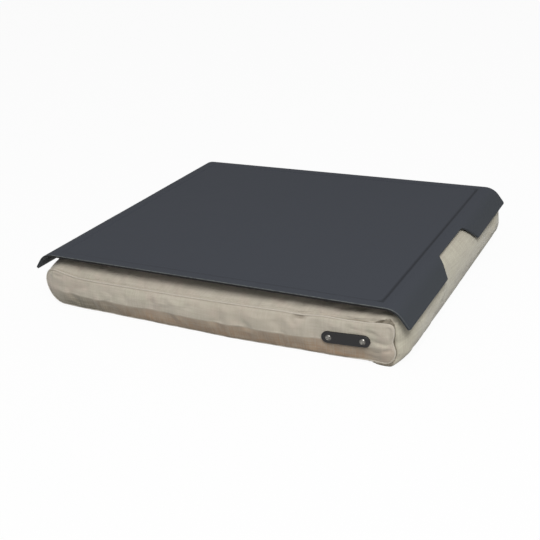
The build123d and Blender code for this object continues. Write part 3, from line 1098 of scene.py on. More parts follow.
    def rows(self, inset: float) -> tuple[np.ndarray, np.ndarray, np.ndarray]:
        """Every row of the wrap, from the front seam to the rear seam.

        A row's height fills from the drawn-in seam line to the full body with a square of
        its share of the way in, and its ends turn from the front lines to the rear ones.

        Args:
            inset: How far inside the cover's face the form lies, in millimetres.

        Returns:
            X, Y and Z in millimetres, each as rows by columns.
        """
        places = np.array(self.row_places)
        front, rear = self.front_seam + inset, self.rear_seam - inset
        middle = np.linspace(front + places[-1], rear - places[-1], self.middle_rows + 1)[1:-1]
        y = np.concatenate([front + places, middle, rear - places[::-1]])[:, None]
        share = np.clip(np.minimum(y - front, rear - y) / self.draw_in, 0, 1)
        nearer_front = y < (front + rear) / 2
        way = ramp(y - front, *self.ends_turn)
        way = way * way * (3 - 2 * way)
        pairs = ((self.front_right_end, self.rear_right_end), (self.front_left_end, self.rear_left_end))
        right, left = (first.at(share, inset) + (last.at(share, inset) - first.at(share, inset)) * way
                       for first, last in pairs)
        high = fill(share, self.seam_high, self.top + self.crown_rise, 2) - inset
        x, z = self.outline(right, left, fill(share, self.seam_low, 0, 2) + inset, high,
                            fill(share, self.seam_sag, self.crown, 2))
        z = self.follow_photo(x, z, share, nearer_front)
        back = ramp(-x, self.left_seam_from, self.front_left_end.half_width[0] - self.left_seam_from)
        y = y + nearer_front * self.left_seam_back * back**2 * (1 - share) ** 1.5
        return self.sag_corner(x, y, z, front + inset)

    def sag_corner(self, x: np.ndarray, y: np.ndarray, z: np.ndarray,
                   front: float) -> tuple[np.ndarray, np.ndarray, np.ndarray]:
        """Let the wrap sag under the seam at the front right corner, down to the floor.

        What is left above the floor goes down by an exponential of the distance behind the
        seam, and the cloth comes forward by the same curve, which dies away again.

        Args:
            x: X of each point in millimetres.
            y: Y of each point.
            z: Z of each point.
            front: Y from which the distance behind the seam is taken.

        Returns:
            The three with the sag.
        """
        behind = np.clip(y - front, 0, None)
        low = ramp(-z, -self.pouch_height, self.pouch_fade) * ramp(x, self.pouch_from, self.pouch_length)
        out = low * (1 - np.exp(-behind / self.pouch_start))
        forward = self.pouch_forward * out * np.exp(-behind / self.pouch_end)
        return x, y - forward, z - np.minimum(z, self.seam_low) * out

    def follow_photo(self, x: np.ndarray, z: np.ndarray, share: np.ndarray,
                     nearer_front: np.ndarray) -> np.ndarray:
        """Raise or lower the upper edge to the seam's own heights, fading away from the seam.

        Args:
            x: X of each point in millimetres.
            z: Z of each point.
            share: How far each row is on its way from the seam to the full body.
            nearer_front: Whether a row follows the front seam.

        Returns:
            Z that follows the seam.
        """
        plain = self.seam_high + self.seam_sag * (1 - np.clip(x / self.seam_reach, -1, 1) ** 2)
        wanted = np.where(nearer_front, smooth_between(x, self.front_seam_heights, 9),
                          smooth_between(x, self.rear_seam_heights, 20))
        start, length = (part * self.seam_high for part in self.upper_part)
        return z + (wanted - plain) * ramp(z, start, length) * (1 - share) ** 1.6

    def side_panel(self, ring: np.ndarray, levels: Sequence[tuple[int, float | np.ndarray]]) -> np.ndarray:
        """The flat grid of a long side panel inside its seam line.

        Between the top and base of the seam line the columns are straight, with named rows at
        set heights, and near each end they bend to the seam's own points, with a square fade.

        Args:
            ring: The seam line's points, clockwise from the upper left corner.
            levels: Rows that lie at a set height, as pairs of row number and height, which
                is one for all columns or one for each.

        Returns:
            Points as columns by rows by three, from the base up.
        """
        across, upward = self.across, self.upward
        top = ring[: across + 1]
        right = ring[across : across + upward + 1][::-1]
        base = ring[across + upward : 2 * across + upward + 1][::-1]
        left = np.vstack([ring[2 * across + upward :], ring[:1]])
        row = np.arange(upward + 1)
        numbers = np.array([0, *[number for number, _ in levels], upward])
        fixed = np.stack([np.broadcast_to(height, across + 1) for _, height in levels], 1)
        heights = np.hstack([base[:, 2:], fixed, top[:, 2:]])
        z = np.stack([np.interp(row, numbers, line) for line in heights])
        share = ((z - base[:, 2:]) / (top[:, 2:] - base[:, 2:]))[..., None]
        grid = base[:, None] * (1 - share) + top[:, None] * share
        for line, edge in ((left, 0), (right, across)):
            away = np.abs(grid[:, :, 0] - grid[edge : edge + 1, :, 0])
            bend = np.clip(1 - away / self.panel_bend, 0, 1)[..., None] ** 2
            grid = grid + bend * (line - grid[edge])[None]
        grid[0], grid[-1], grid[:, 0], grid[:, -1] = left, right, base, top
        return grid

    def crease_line(self, x: np.ndarray) -> np.ndarray:
        """Height of the front panel's crease at places on X, in millimetres."""
        return self.crease_height + smooth_between(x, self.crease_rise, 12)

    def swell_front(self, grid: np.ndarray) -> np.ndarray:
        """Push the front panel out: full at the crease, less above it, and in again below it.

        Args:
            grid: The flat panel's points.

        Returns:
            The swollen panel's points.
        """
        x, z = grid[..., 0], grid[..., 2]
        low, high = z[:, :1], z[:, -1:]
        crease = self.crease_line(x)
        below = np.clip((z - low) / (crease - low), 0, 1)
        above = np.clip((high - z) / (high - crease), 0, 1)
        rise = np.where(z < crease, self.base_share + (1 - self.base_share) * below,
                        np.interp(above, *self.swell_heights))
        rise[:, 0] = 0
        ends = np.minimum(x - x[:1], x[-1:] - x)
        side = 1 - (1 - np.clip(ends / self.swell_ends, 0, 1)) ** self.swell_power
        grid = grid.copy()
        grid[..., 1] -= smooth_between(x, self.front_swell, 10) * rise * side
        return grid

    def swell_rear(self, grid: np.ndarray) -> np.ndarray:
        """Push the rear panel out to a flat, which its seam lines draw in.

        Args:
            grid: The flat panel's points.

        Returns:
            The swollen panel's points.
        """
        x, z = grid[..., 0], grid[..., 2]
        near = np.minimum(np.minimum(x - x[:1], x[-1:] - x), np.minimum(z - z[:, :1], z[:, -1:] - z))
        share = np.clip(near / self.rear_swell_edge, 0, 1)
        grid = grid.copy()
        grid[..., 1] += self.rear_swell * (1 - (1 - share) ** self.swell_power)
        return grid

    def cage(self, inset: float = 0.0) -> tuple[np.ndarray, np.ndarray, np.ndarray, np.ndarray]:
        """The whole closed form as one grid of quads.

        Args:
            inset: How far inside the cover's face the form lies, in millimetres.

        Returns:
            Points in metres, faces, each face's panel, and each face corner's flat map.
        """
        x, y, z = self.rows(inset)
        wrap = np.stack([x, y, z], -1)
        wrap[0] = self.draw_front_seam(wrap[0])
        crease = self.crease_line(wrap[0, : self.across + 1, 0])
        held = [(row, crease + step * self.crease_hold) for row, step in zip(self.crease_rows, (-1, 0, 1))]
        front = self.swell_front(self.side_panel(wrap[0], held))
        slot = tuple(zip(self.slot_rows, (self.slot_low, self.zip_height, self.slot_high)))
        rear = self.swell_rear(self.side_panel(wrap[-1], slot))
        count, columns = wrap.shape[:2]
        points = [wrap.reshape(-1, 3)]
        faces = [grid_faces(count, columns, close_columns=True)]
        panels = [np.full(len(faces[0]), Panel.WRAP)]
        maps = [self.wrap_map(wrap)]
        for grid, row, flip in ((front, 0, False), (rear, count - 1, True)):
            numbers = self.panel_numbers(row * columns, sum(len(part) for part in points))
            points.append(grid[1:-1, 1:-1].reshape(-1, 3))
            corners, places = ([part[:-1, :-1], part[1:, :-1], part[1:, 1:], part[:-1, 1:]]
                               for part in (numbers, grid))
            if flip:
                corners, places = corners[::-1], places[::-1]
            faces.append(np.stack(corners, -1).reshape(-1, 4))
            maps.append(np.stack(places, 2)[..., [0, 2]].reshape(-1, 4, 2))
            panels.append(self.rear_parts(grid) if flip else np.full(len(faces[-1]), Panel.FRONT))
        return (np.concatenate(points) * MM, np.concatenate(faces), np.concatenate(panels),
                np.concatenate(maps) * MM)

    def wrap_map(self, wrap: np.ndarray) -> np.ndarray:
        """The wrap's flat map: its length round the middle row, by the place along Y.

        Args:
            wrap: The wrap's points, as rows by columns.

        Returns:
            The map of each face corner in millimetres.
        """
        count, columns = wrap.shape[:2]
        middle = wrap[count // 2]
        length = np.linalg.norm(np.roll(middle, -1, 0) - middle, axis=1)
        around = np.concatenate([[0], np.cumsum(length)])
        low = np.arange(columns)[None, :].repeat(count - 1, 0)
        u = np.stack([around[low], around[low + 1], around[low + 1], around[low]], -1)
        v = wrap[:, columns // 8, 1]
        v = np.stack([v[:-1], v[:-1], v[1:], v[1:]], -1)[:, None].repeat(columns, 1)
        return np.stack([u, v], -1).reshape(-1, 4, 2)

    def draw_front_seam(self, ring: np.ndarray) -> np.ndarray:
        """Let the front seam wander at its right corner and bow forward along the base.

        Args:
            ring: The seam line's points in millimetres.

        Returns:
            The points of the seam as drawn.
        """
        x, z = ring[:, 0], ring[:, 2]
        x = x + ramp(x, *self.corner_seam) * smooth_between(z, self.corner_seam_wander, 3)
        low = ramp(-z, -self.hem_height, self.hem_fade)
        hem = smooth_between(x, self.front_hem, 9)
        drop = self.hem_fall * np.minimum(hem, self.hem_limit) + smooth_between(x, self.front_drop, 9)
        return np.stack([x, ring[:, 1] - low * hem, z - low * drop], -1)

    def panel_numbers(self, ring_start: int, inner_start: int) -> np.ndarray:
        """Point numbers of a side panel's grid, whose edge is the seam's own points.

        Args:
            ring_start: Number of the seam's first point.
            inner_start: Number of the grid's first point inside the seam.

        Returns:
            The numbers, as columns by rows.
        """
        across, upward = self.across, self.upward
        numbers = np.zeros((across + 1, upward + 1), int)
        numbers[:, -1] = ring_start + np.arange(across + 1)
        numbers[-1, :] = ring_start + (across + np.arange(upward + 1))[::-1]
        numbers[:, 0] = ring_start + (across + upward + np.arange(across + 1))[::-1]
        numbers[0, :] = ring_start + (2 * across + upward + np.arange(upward + 1)) % self.seam_points
        inner = np.arange((across - 1) * (upward - 1)).reshape(across - 1, upward - 1)
        numbers[1:-1, 1:-1] = inner_start + inner
        return numbers

    def rear_parts(self, grid: np.ndarray) -> np.ndarray:
        """Which rear panel, or the slot, each face of the rear grid belongs to.

        Args:
            grid: The rear panel's points.

        Returns:
            One panel for each face.
        """
        middle = (grid[:-1, :-1] + grid[1:, 1:]) / 2
        x, z = middle[..., 0], middle[..., 2]
        inside = (np.abs(x) < self.slot_half_length) & (z > self.slot_low) & (z < self.slot_high)
        parts = np.where(z > self.zip_height, Panel.REAR_UPPER, Panel.REAR_LOWER)
        return np.where(inside, Panel.SLOT, parts).ravel()

    def pins(self, points: np.ndarray) -> np.ndarray:
        """How firmly each point is held while the cloth settles.

        The seams, the cloth under the tray's strips, the flat base, the zip's slot and what
        lies behind the label stay where they are.

        Args:
            points: The cage's points in metres.

        Returns:
            1 for each held point and 0 for the others.
        """
        x, y, z = (points / MM).T
        seam = np.minimum(np.abs(y - self.rear_seam), np.abs(y - self.front_seam)) < self.hold_reach
        seam[: self.seam_points] = True
        strips = self.under_strips(x, y, self.strip_half) & (z > self.top - 2)
        base = (z < 1) & (np.abs(x) < self.base_half[0]) & (np.abs(y) < self.base_half[1])
        zip_zone = (y > self.rear_seam + 0.5) & (z > self.slot_low - 1) & (z < self.slot_high + 1)
        return (seam | strips | base | zip_zone | (self.behind_label(points) == 0)).astype(float)

    def under_strips(self, x: np.ndarray, y: np.ndarray, half: Span) -> np.ndarray:
        """Whether places lie under one of the strips, given half its width and length."""
        return (np.abs(np.abs(x) - self.strip_middle) < half[0]) & (np.abs(y) < half[1])

    def behind_label(self, points: np.ndarray) -> np.ndarray:
        """How far points lie outside the label's back on the front panel.

        Args:
            points: The points in metres.

        Returns:
            The distances in millimetres, which are the draw-in length off the front panel.
        """
        x, y, z = (points / MM).T
        beside = np.clip(np.abs(x - self.label_place[0]) - self.label_half[0], 0, None)
        above = np.clip(np.abs(z - self.label_place[1]) - self.label_half[1], 0, None)
        return np.where(y < self.front_seam - 1, np.hypot(beside, above), self.draw_in)

    def settle(self) -> bpy.types.Object:
        """Fill the closed cover with air in a cloth simulation, and smooth it by one subdivision.

        A point moves no further than the settle reach, along a tanh, and its way inwards is
        held to the settle inward.

        Returns:
            The working object, with its simulation and subdivision applied.
        """
        points, faces, panels, maps = self.cage()
        mesh = bpy.data.meshes.new("cover_form")
        mesh.from_pydata(points.tolist(), [], faces.tolist())
        mesh.polygons.foreach_set("material_index", panels.astype(np.int32))
        for _ in Panel:
            mesh.materials.append(None)
        set_map(mesh, maps)
        cover = bpy.data.objects.new("cover_form", mesh)
        bpy.context.scene.collection.objects.link(cover)
        held = self.pins(points)
        moved = self.simulate(cover, held) - points
        reach = np.linalg.norm(moved, axis=1, keepdims=True)
        limit = self.settle_reach * MM
        moved *= limit * np.tanh(reach / limit) / np.maximum(reach, 1e-9)
        outward = read(mesh.vertex_normals, "vector", 3)
        rise = (moved * outward).sum(1, keepdims=True)
        moved -= outward * np.minimum(rise + self.settle_inward * MM, 0)
        points = points + moved * (1 - held[:, None])
        points[:, 2] = np.clip(points[:, 2], 0, (self.top + self.settle_top) * MM)
        write_points(mesh, points)
        smooth = cover.modifiers.new("smooth", "SUBSURF")
        smooth.levels = smooth.render_levels = 1
        smooth.boundary_smooth = "PRESERVE_CORNERS"
        graph = bpy.context.evaluated_depsgraph_get()
        finer = bpy.data.meshes.new_from_object(cover.evaluated_get(graph), preserve_all_data_layers=True,
                                                depsgraph=graph)
        cover.modifiers.clear()
        cover.data = finer
        return cover

    def simulate(self, cover: bpy.types.Object, held: np.ndarray) -> np.ndarray:
        """Run the cloth simulation.

        Args:
            cover: The working object.
            held: Which of its points are held.

        Returns:
            Where the points end, in metres.
        """
        group = cover.vertex_groups.new(name="held")
        group.add(np.flatnonzero(held).tolist(), 1.0, "REPLACE")
        cloth = cover.modifiers.new("cloth", "CLOTH")
        wanted = {
            "quality": 5, "mass": self.thread_mass, "tension_stiffness": self.stiffness,
            "compression_stiffness": self.stiffness, "shear_stiffness": self.shear,
            "bending_stiffness": self.bending, "use_pressure": True,
            "uniform_pressure_force": self.pressure, "shrink_min": self.shrink,
            "vertex_group_mass": group.name,
        }
        for name, value in wanted.items():
            setattr(cloth.settings, name, value)
        cloth.settings.effector_weights.gravity = 0
        cloth.collision_settings.use_collision = False
        cloth.point_cache.frame_start, cloth.point_cache.frame_end = 1, self.frames
        scene = bpy.context.scene
        for step in range(1, self.frames + 1):
            scene.frame_set(step)
        graph = bpy.context.evaluated_depsgraph_get()
        places = read(cover.evaluated_get(graph).data.vertices, "co", 3).astype(float)
        cover.modifiers.clear()
        scene.frame_set(1)
        return places

    def photo_folds(self) -> list[Fold]:
        """The creases that the photograph shows, by the places where they lie.

        Returns:
            The creases, with their depths and widths.
        """
        seam = self.front_seam
        return [
            Fold((101, seam - 2, 38), (113, seam - 4, 25), 1.5, 3.0),
            Fold((104, seam - 1, 39.5), (119, seam - 1, 39.5), 2.2, 3.0),
            Fold((97, seam - 2, 36), (108, seam - 5, 24), -0.7, 3.0),
            Fold((187, seam + 1.5, 46.0), (212, seam + 3.4, 49.0), 2.6, 1.8),
            Fold((190, seam + 5, 50), (214, seam + 8, 52.5), -1.8, 2.4),
            Fold((166, seam - 3, 37), (203, seam - 3, 34.5), 0.8, 2.0),
            Fold((188, seam - 4, 40), (210, seam - 3, 31), -0.7, 2.4),
            Fold((191, seam - 4, 27), (212, seam - 3, 24), 0.9, 1.8),
            Fold((191, seam - 4, 22.5), (211, seam - 3, 21.5), -0.7, 2.0),
            Fold((190, seam - 4, 13), (211, seam - 2, 20), 0.8, 2.0),
            Fold((182, seam - 4, 14), (197, seam - 4, 7), -0.8, 2.6),
            Fold((212, seam + 1, 27), (222, seam + 16, 30), 1.6, 3.6),
            Fold((214, seam + 1, 17), (224, seam + 18, 13), -1.2, 4.4),
            Fold((-206, seam - 1, 40), (-194, seam - 2, 38), 0.8, 2.0),
            Fold((-203, seam + 6, 47), (-178, seam + 7, 45.5), 0.7, 2.6),
            Fold((-212, seam, 31), (-186, seam - 3, 27), 0.8, 4.5),
            Fold((-70, seam - 3, 37), (-63, seam - 5, 21), 0.6, 5.0),
            Fold((-9, seam - 3, 37), (-14, seam - 5, 20), 0.7, 5.5),
            Fold((52, seam - 3, 39), (49, seam - 5, 21), 0.6, 6.0),
            Fold((-120, seam - 3, 36), (-113, seam - 4, 20), 0.6, 5.0),
            Fold((-158, seam - 3, 36), (-154, seam - 4, 21), 0.5, 4.0),
            Fold((186, seam + 12, 54), (150, seam + 9, 50), 1.1, 4.0),
        ]

    def soft_wrinkles(self, seed: int = 7) -> list[Fold]:
        """Faint wrinkles that start at the seams and run out over the panels, from one seed.

        Args:
            seed: The seed of the draws.

        Returns:
            The wrinkles of both seams, both short ends and the rear side.
        """
        draw = np.random.default_rng(seed)
        folds = []
        for end, out in ((self.front_seam, 1), (self.rear_seam, -1)):
            for x in np.arange(-200, 201, 11.0):
                shift, length, lean = draw.uniform(-4, 4), draw.uniform(9, 22), draw.uniform(-5, 5)
                start = (x + shift, end + out * 1.5, 43)
                finish = (x + shift + lean, end + out * (1.5 + length), 44 + 0.5 * length)
                folds.append(Fold(start, finish, draw.uniform(0.15, 0.65), draw.uniform(1.8, 3.4)))
        for side in (-1, 1):
            for y in np.arange(-165, 166, 30.0):
                shift, lean, height = draw.uniform(-8, 8), draw.uniform(-12, 12), draw.uniform(8, 20)
                start = (side * 226, y + shift, height)
                finish = (side * 214, y + shift + lean, height + draw.uniform(16, 26))
                folds.append(Fold(start, finish, draw.uniform(0.3, 0.8), draw.uniform(4, 8)))
        for x in np.arange(-190, 191, 24.0):
            shift, lean, depth = draw.uniform(-7, 7), draw.uniform(-4, 4), draw.uniform(0.2, 0.5)
            out = self.rear_face
            folds.append(Fold((x + shift, out, 43), (x + shift + lean, out, 30), depth, draw.uniform(2, 4)))
            folds.append(Fold((x - shift, out, 15), (x - shift + lean, out, 5), depth, draw.uniform(2, 4)))
        return folds

    def pucker(self, points: np.ndarray) -> np.ndarray:
        """Small gathers along both seams: sines of the place along X that die away inwards.

        Args:
            points: The points in metres.

        Returns:
            How far each point moves outwards, in metres.
        """
        x, y, z = (points / MM).T
        wave = 0.22 * np.sin(x * 0.81 + 1.3 * np.sin(x * 0.07)) + 0.16 * np.sin(x * 0.37 + 2.0)
        near = sum(np.exp(-np.abs(y - seam) / 5.0) for seam in (self.front_seam, self.rear_seam))
        return wave * near * ramp(z, 30, 8) * MM

    def sculpt(self, form: Form) -> None:
        """Press the folds, wrinkles and gathers into the settled cover, and the seams' grooves.

        The form also takes each point's distance from the seams, below zero on the side
        panels, and its depth in a fold, both in millimetres.

        Args:
            form: The settled and subdivided cover.
        """
        points = form.points
        shift = self.pucker(points)
        for fold in self.photo_folds() + self.soft_wrinkles():
            shift += fold.shift(points)
        x, y, z = (points / MM).T
        zip_zone = (y > self.rear_seam + 1) & (np.abs(z - self.zip_height) < self.zip_half)
        off_label = ramp(self.behind_label(points), 0, self.label_fade)
        shift *= off_label * (1 - zip_zone) * (z > self.calm_height)
        form.hollow = np.clip(-shift / MM, 0, None)
        beside = np.full(len(points), self.draw_in)
        for rear, depths in ((False, self.front_groove), (True, self.rear_groove)):
            away = self.seam_distance(points, points[self.seam_order(form, rear)])
            wrap = y < self.rear_seam if rear else y > self.front_seam
            groove = np.exp(-((away - self.groove_from_seam) / self.groove_width) ** 2)
            depth = smooth_between(x, depths, 8) * MM * np.where(wrap, 1, self.ridge_share)
            shift = shift * (1 - np.exp(-(away / self.seam_calm) ** 2)) - groove * depth * off_label
            beside = np.where(away < np.abs(beside), np.where(wrap, away, -away), beside)
        form.seam_gap = beside
        points = points + form.normals * shift[:, None]
        x, y, _ = (points / MM).T
        flat = self.behind_label(points) < self.label_rim
        points[:, 1] = np.where(flat, np.maximum(points[:, 1], self.label_back * MM), points[:, 1])
        spare = np.where(self.under_strips(x, y, self.strip_face), -self.strip_gap, self.fold_top)
        points[:, 2] = np.clip(points[:, 2], 0, (self.top + spare) * MM)
        form.move(points)

    def seam_distance(self, points: np.ndarray, line: np.ndarray) -> np.ndarray:
        """Distance of points from a seam's closed line.

        The line is divided by four, and only points level with the seam are measured. The
        others count as one draw-in length away.

        Args:
            points: The points in metres.
            line: The line's points in order.

        Returns:
            The distances in millimetres.
        """
        ahead = np.roll(line, -1, 0)
        fine = np.concatenate([line + (ahead - line) * part for part in (0, 0.25, 0.5, 0.75)]) / MM
        near = np.abs(points[:, 1] - line[:, 1].mean()) < self.seam_level * MM
        mine = points[near] / MM
        squared = (mine**2).sum(1)[:, None] + (fine**2).sum(1)[None] - 2 * mine @ fine.T
        away = np.full(len(points), self.draw_in)
        away[near] = np.sqrt(np.maximum(squared.min(1), 0))
        return away

    def cut_panel(self, form: Form, panel: Panel, name: str,
                  material: bpy.types.Material) -> bpy.types.Object:
        """Cut one panel out of the settled cover as a closed sheet with a wall.

        The inner face is the outer one moved in along its normals, and a rim of quads joins them.

        Args:
            form: The settled cover.
            panel: Which panel.
            name: The piece's name.
            material: The fabric.

        Returns:
            The piece.
        """
        mine = form.parts == panel
        flat = form.flat[mine]
        used, numbered = np.unique(form.quads[mine], return_inverse=True)
        quads = numbered.reshape(-1, 4)
        outer = form.points[used]
        inner = outer - form.normals[used] * self.wall * MM
        total = len(used)
        edges = np.stack([quads, np.roll(quads, -1, 1)], -1).reshape(-1, 2)
        rim = ~np.isin(edges @ (total, 1), edges @ (1, total))
        first, second = edges[rim].T
        wall = np.stack([second, first, first + total, second + total], -1)
        edge_flat = np.stack([flat, np.roll(flat, -1, 1)], 2).reshape(-1, 2, 2)[rim]
        faces = np.concatenate([quads, quads[:, ::-1] + total, wall])
        maps = np.concatenate([flat, flat[:, ::-1], edge_flat[:, [1, 0, 0, 1]]])
        piece = new_piece(name, np.concatenate([outer, inner]), faces, material, flat=maps)
        self.mark_rim(piece.data, np.stack([first, second], -1), total)
        x, _, z = (outer / MM).T
        above = z - self.crease_line(x) if panel == Panel.FRONT else np.full(total, self.draw_in)
        sign = 1 if panel == Panel.WRAP else -1
        marks = {"crease": above, "seam_gap": sign * np.abs(form.seam_gap[used]), "hollow": form.hollow[used]}
        for label, values in marks.items():
            layer = piece.data.attributes.new(label, "FLOAT", "POINT")
            layer.data.foreach_set("value", np.tile(values, 2).astype(np.float32))
        return piece

    def mark_rim(self, mesh: bpy.types.Mesh, rim: np.ndarray, total: int) -> None:
        """Mark the edges of a panel's rim as sharp, outside and inside.

        Args:
            mesh: The panel's mesh.
            rim: The outer rim's edges, as pairs of point numbers.
            total: How many points the outer face has.
        """
        ends = np.sort(read(mesh.edges, "vertices", 2, np.int32), 1).astype(np.int64)
        rim = np.sort(np.concatenate([rim, rim + total]), 1)
        key = (2 * total, 1)
        layer = mesh.attributes.new("sharp_edge", "BOOLEAN", "EDGE")
        layer.data.foreach_set("value", np.isin(ends @ key, rim @ key))

    def seam_order(self, form: Form, rear: bool) -> np.ndarray:
        """The points of one seam in order round the cushion.

        The cage's own seam points keep their numbers and their order, and after each comes the
        new point of the subdivision that lies nearest to the middle between it and the next.

        Args:
            form: The settled cover.
            rear: Whether it is the rear seam.

        Returns:
            The points' numbers.
        """
        wrap = np.unique(form.quads[form.parts == Panel.WRAP])
        sides = (Panel.REAR_UPPER, Panel.REAR_LOWER) if rear else (Panel.FRONT,)
        shared = np.intersect1d(wrap, np.unique(form.quads[np.isin(form.parts, sides)]))
        last_row = 2 * len(self.row_places) + self.middle_rows - 2
        ring = (self.seam_points * last_row if rear else 0) + np.arange(self.seam_points)
        fresh = np.setdiff1d(shared, ring)
        middle = (form.points[ring] + form.points[np.roll(ring, -1)]) / 2
        nearest = np.linalg.norm(middle[:, None] - form.points[fresh][None], axis=2).argmin(1)
        return np.stack([ring, fresh[nearest]], 1).ravel()

    def make_seam(self, name: str, path: np.ndarray, outward: np.ndarray,
                  material: bpy.types.Material) -> bpy.types.Object:
        """The rolled edge of cloth along one seam, as a round bead on a closed path.

        Each ring is a circle in the plane of the outward normal and the direction square to
        it and to the path.

        Args:
            name: The piece's name.
            path: The seam's points in order.
            outward: The normals there.
            material: The cloth.

        Returns:
            The piece.
        """
        radius, sides = self.bead_radius * MM, self.bead_sides
        along = unit(np.roll(path, -1, 0) - np.roll(path, 1, 0))
        outward = unit(outward - (outward * along).sum(1, keepdims=True) * along)
        across = np.cross(along, outward)
        turn = np.linspace(0, 2 * np.pi, sides, endpoint=False)[None, :, None]
        lift = self.bead_lift * MM + radius * np.cos(turn)
        ring = outward[:, None] * lift + across[:, None] * radius * np.sin(turn)
        points = (path[:, None] + ring).reshape(-1, 3)
        points[:, 2] = np.maximum(points[:, 2], 0.0)
        distance = np.concatenate([[0], np.cumsum(np.linalg.norm(np.diff(path, axis=0), axis=1))])
        u = np.repeat(distance, sides)
        v = np.tile(turn.ravel() * radius, len(path))
        faces = grid_faces(len(path), sides, True, True)
        return new_piece(name, points, faces, material, flat=np.stack([u, v], -1)[faces])

    def make_stitches(self, name: str, path: np.ndarray, outward: np.ndarray,
                      material: bpy.types.Material) -> bpy.types.Object:
        """A row of single stitches along a path.

        Each stitch is a tube whose middle line is half an ellipse that dips into the cloth at
        both ends, and whose rings of six points shrink towards them.

        Args:
            name: The piece's name.
            path: Points along the row, close together.
            outward: The normals there.
            material: The thread.

        Returns:
            The piece.
        """
        rings, sides = self.stitch_rings, 6
        distance = np.concatenate([[0], np.cumsum(np.linalg.norm(np.diff(path, axis=0), axis=1))])
        count = int(distance[-1] / (self.stitch_pitch * MM))
        centre = (np.arange(count) + 0.5) * distance[-1] / count
        share = np.linspace(-1, 1, rings)
        at = centre[:, None] + share[None] * self.stitch_half * MM
        place, normal = (np.stack([np.interp(at, distance, line) for line in lines.T], -1)
                         for lines in (path, outward))
        normal = unit(normal)
        along = unit(place[:, -1] - place[:, 0])[:, None]
        across = np.cross(np.broadcast_to(along, normal.shape), normal)
        radius = self.stitch_radius * MM
        lift = radius * (1.6 * np.sqrt(1 - 0.98 * share**2) - 0.9)
        place = place + normal * lift[None, :, None]
        turn = np.linspace(0, 2 * np.pi, sides, endpoint=False)[None, None, :, None]
        thick = (radius * (0.35 + 0.65 * np.sqrt(1 - share**2)))[None, :, None, None]
        ring = (normal[:, :, None] * np.cos(turn) + across[:, :, None] * np.sin(turn)) * thick
        points = (place[:, :, None] + ring).reshape(-1, 3)
        points[:, 2] = np.maximum(points[:, 2], 0.0)
        size = rings * sides
        caps = np.array([[0, 1, 2, 3], [0, 3, 4, 5], [-3, -4, -5, -6], [-1, -2, -3, -6]])
        caps = np.where(caps < 0, caps + size, caps)
        one = np.concatenate([grid_faces(rings, sides, False, True), caps])
        faces = one[None] + (np.arange(count) * size)[:, None, None]
        return new_piece(name, points, faces.reshape(-1, 4), material)

    def stitch_row(self, path: np.ndarray, outward: np.ndarray, surface: BVHTree,
                   rear: bool) -> tuple[np.ndarray, np.ndarray]:
        """The line of top stitching on the wrap, a set distance from the seam over the top.

        Args:
            path: The seam's points in order.
            outward: The normals there.
            surface: The cover's faces, to be searched.
            rear: Whether it is the rear seam.

        Returns:
            The line's points on the cover, and the normals there.
        """
        inward = np.array([0, -1 if rear else 1, 0]) * self.stitch_from_seam * MM
        starts = path + inward + outward * self.stitch_search * MM
        hits = [surface.find_nearest(Vector(start))[:2] for start in starts]
        places, normals = np.array(hits).transpose(1, 0, 2)
        return places, normals

    def make(self, groups: Groups) -> None:
        """Build the cover, its sewing and its filling.

        Args:
            groups: The shared node groups.
        """
        cloth = CoverCloth("cover_cloth", (0.717, 0.689, 0.636), (0.655, 0.622, 0.565)).make(groups)
        # The seam bead's cloth is a lighter copy of the cover's, as a painted highlight on the seam's ridge
        lit_bead_cloth = Cloth("seam_cloth_lit", (0.76, 0.73, 0.68), (0.70, 0.67, 0.62)).make(groups)
        thread = Moulded("sewing_thread", (0.72, 0.69, 0.635), (0.665, 0.635, 0.57), 0.7, 2500.0).make(groups)
        cover = self.settle()
        form = Form(cover.data)
        self.sculpt(form)
        for panel, name, node in (
                (Panel.WRAP, "cover_wrap", "cover_wrap_panel"),
                (Panel.FRONT, "cover_front", "cover_front_panel"),
                (Panel.REAR_UPPER, "cover_rear_upper", "cover_rear_panel_upper"),
                (Panel.REAR_LOWER, "cover_rear_lower", "cover_rear_panel_lower")):
            piece = self.cut_panel(form, panel, name, cloth)
            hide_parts(node)
        surface = BVHTree.FromPolygons(form.points.tolist(), form.quads.tolist())
        for rear, side in ((False, "front"), (True, "rear")):
            order = self.seam_order(form, rear)
            path, outward = form.points[order], form.normals[order]
            self.make_seam(f"seam_{side}", path, outward, lit_bead_cloth)
            row = self.stitch_row(path, outward, surface, rear)
            self.make_stitches(f"top_stitching_{side}", *row, thread)
        bpy.data.objects.remove(cover)
        liner = Cloth("liner_cloth", (0.82, 0.81, 0.78), (0.74, 0.73, 0.70)).make(groups)
        beads = Moulded("bead_foam", (0.9, 0.9, 0.88), (0.82, 0.82, 0.8), 0.7, 300.0, 0.5 * MM).make(groups)
        for name, node, inset, material, slot in (
                ("liner_bag", "inner_bag", self.liner_inset, liner, "liner"),
                ("settled_beads", "bead_fill", self.filling_inset, beads, "beads")):
            points, faces, _, maps = self.cage(inset)
            piece = new_piece(name, points, faces, material, maps)
            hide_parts(node)


# The other pieces and the studio
def dress(node: str, material: bpy.types.Material) -> None:
    """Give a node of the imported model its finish.

    Args:
        node: The node's name.
        material: The finish.
    """
    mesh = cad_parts[node].data
    mesh.materials.clear()
    mesh.materials.append(material)
    LOG.info("%s has %s", node, material.name)


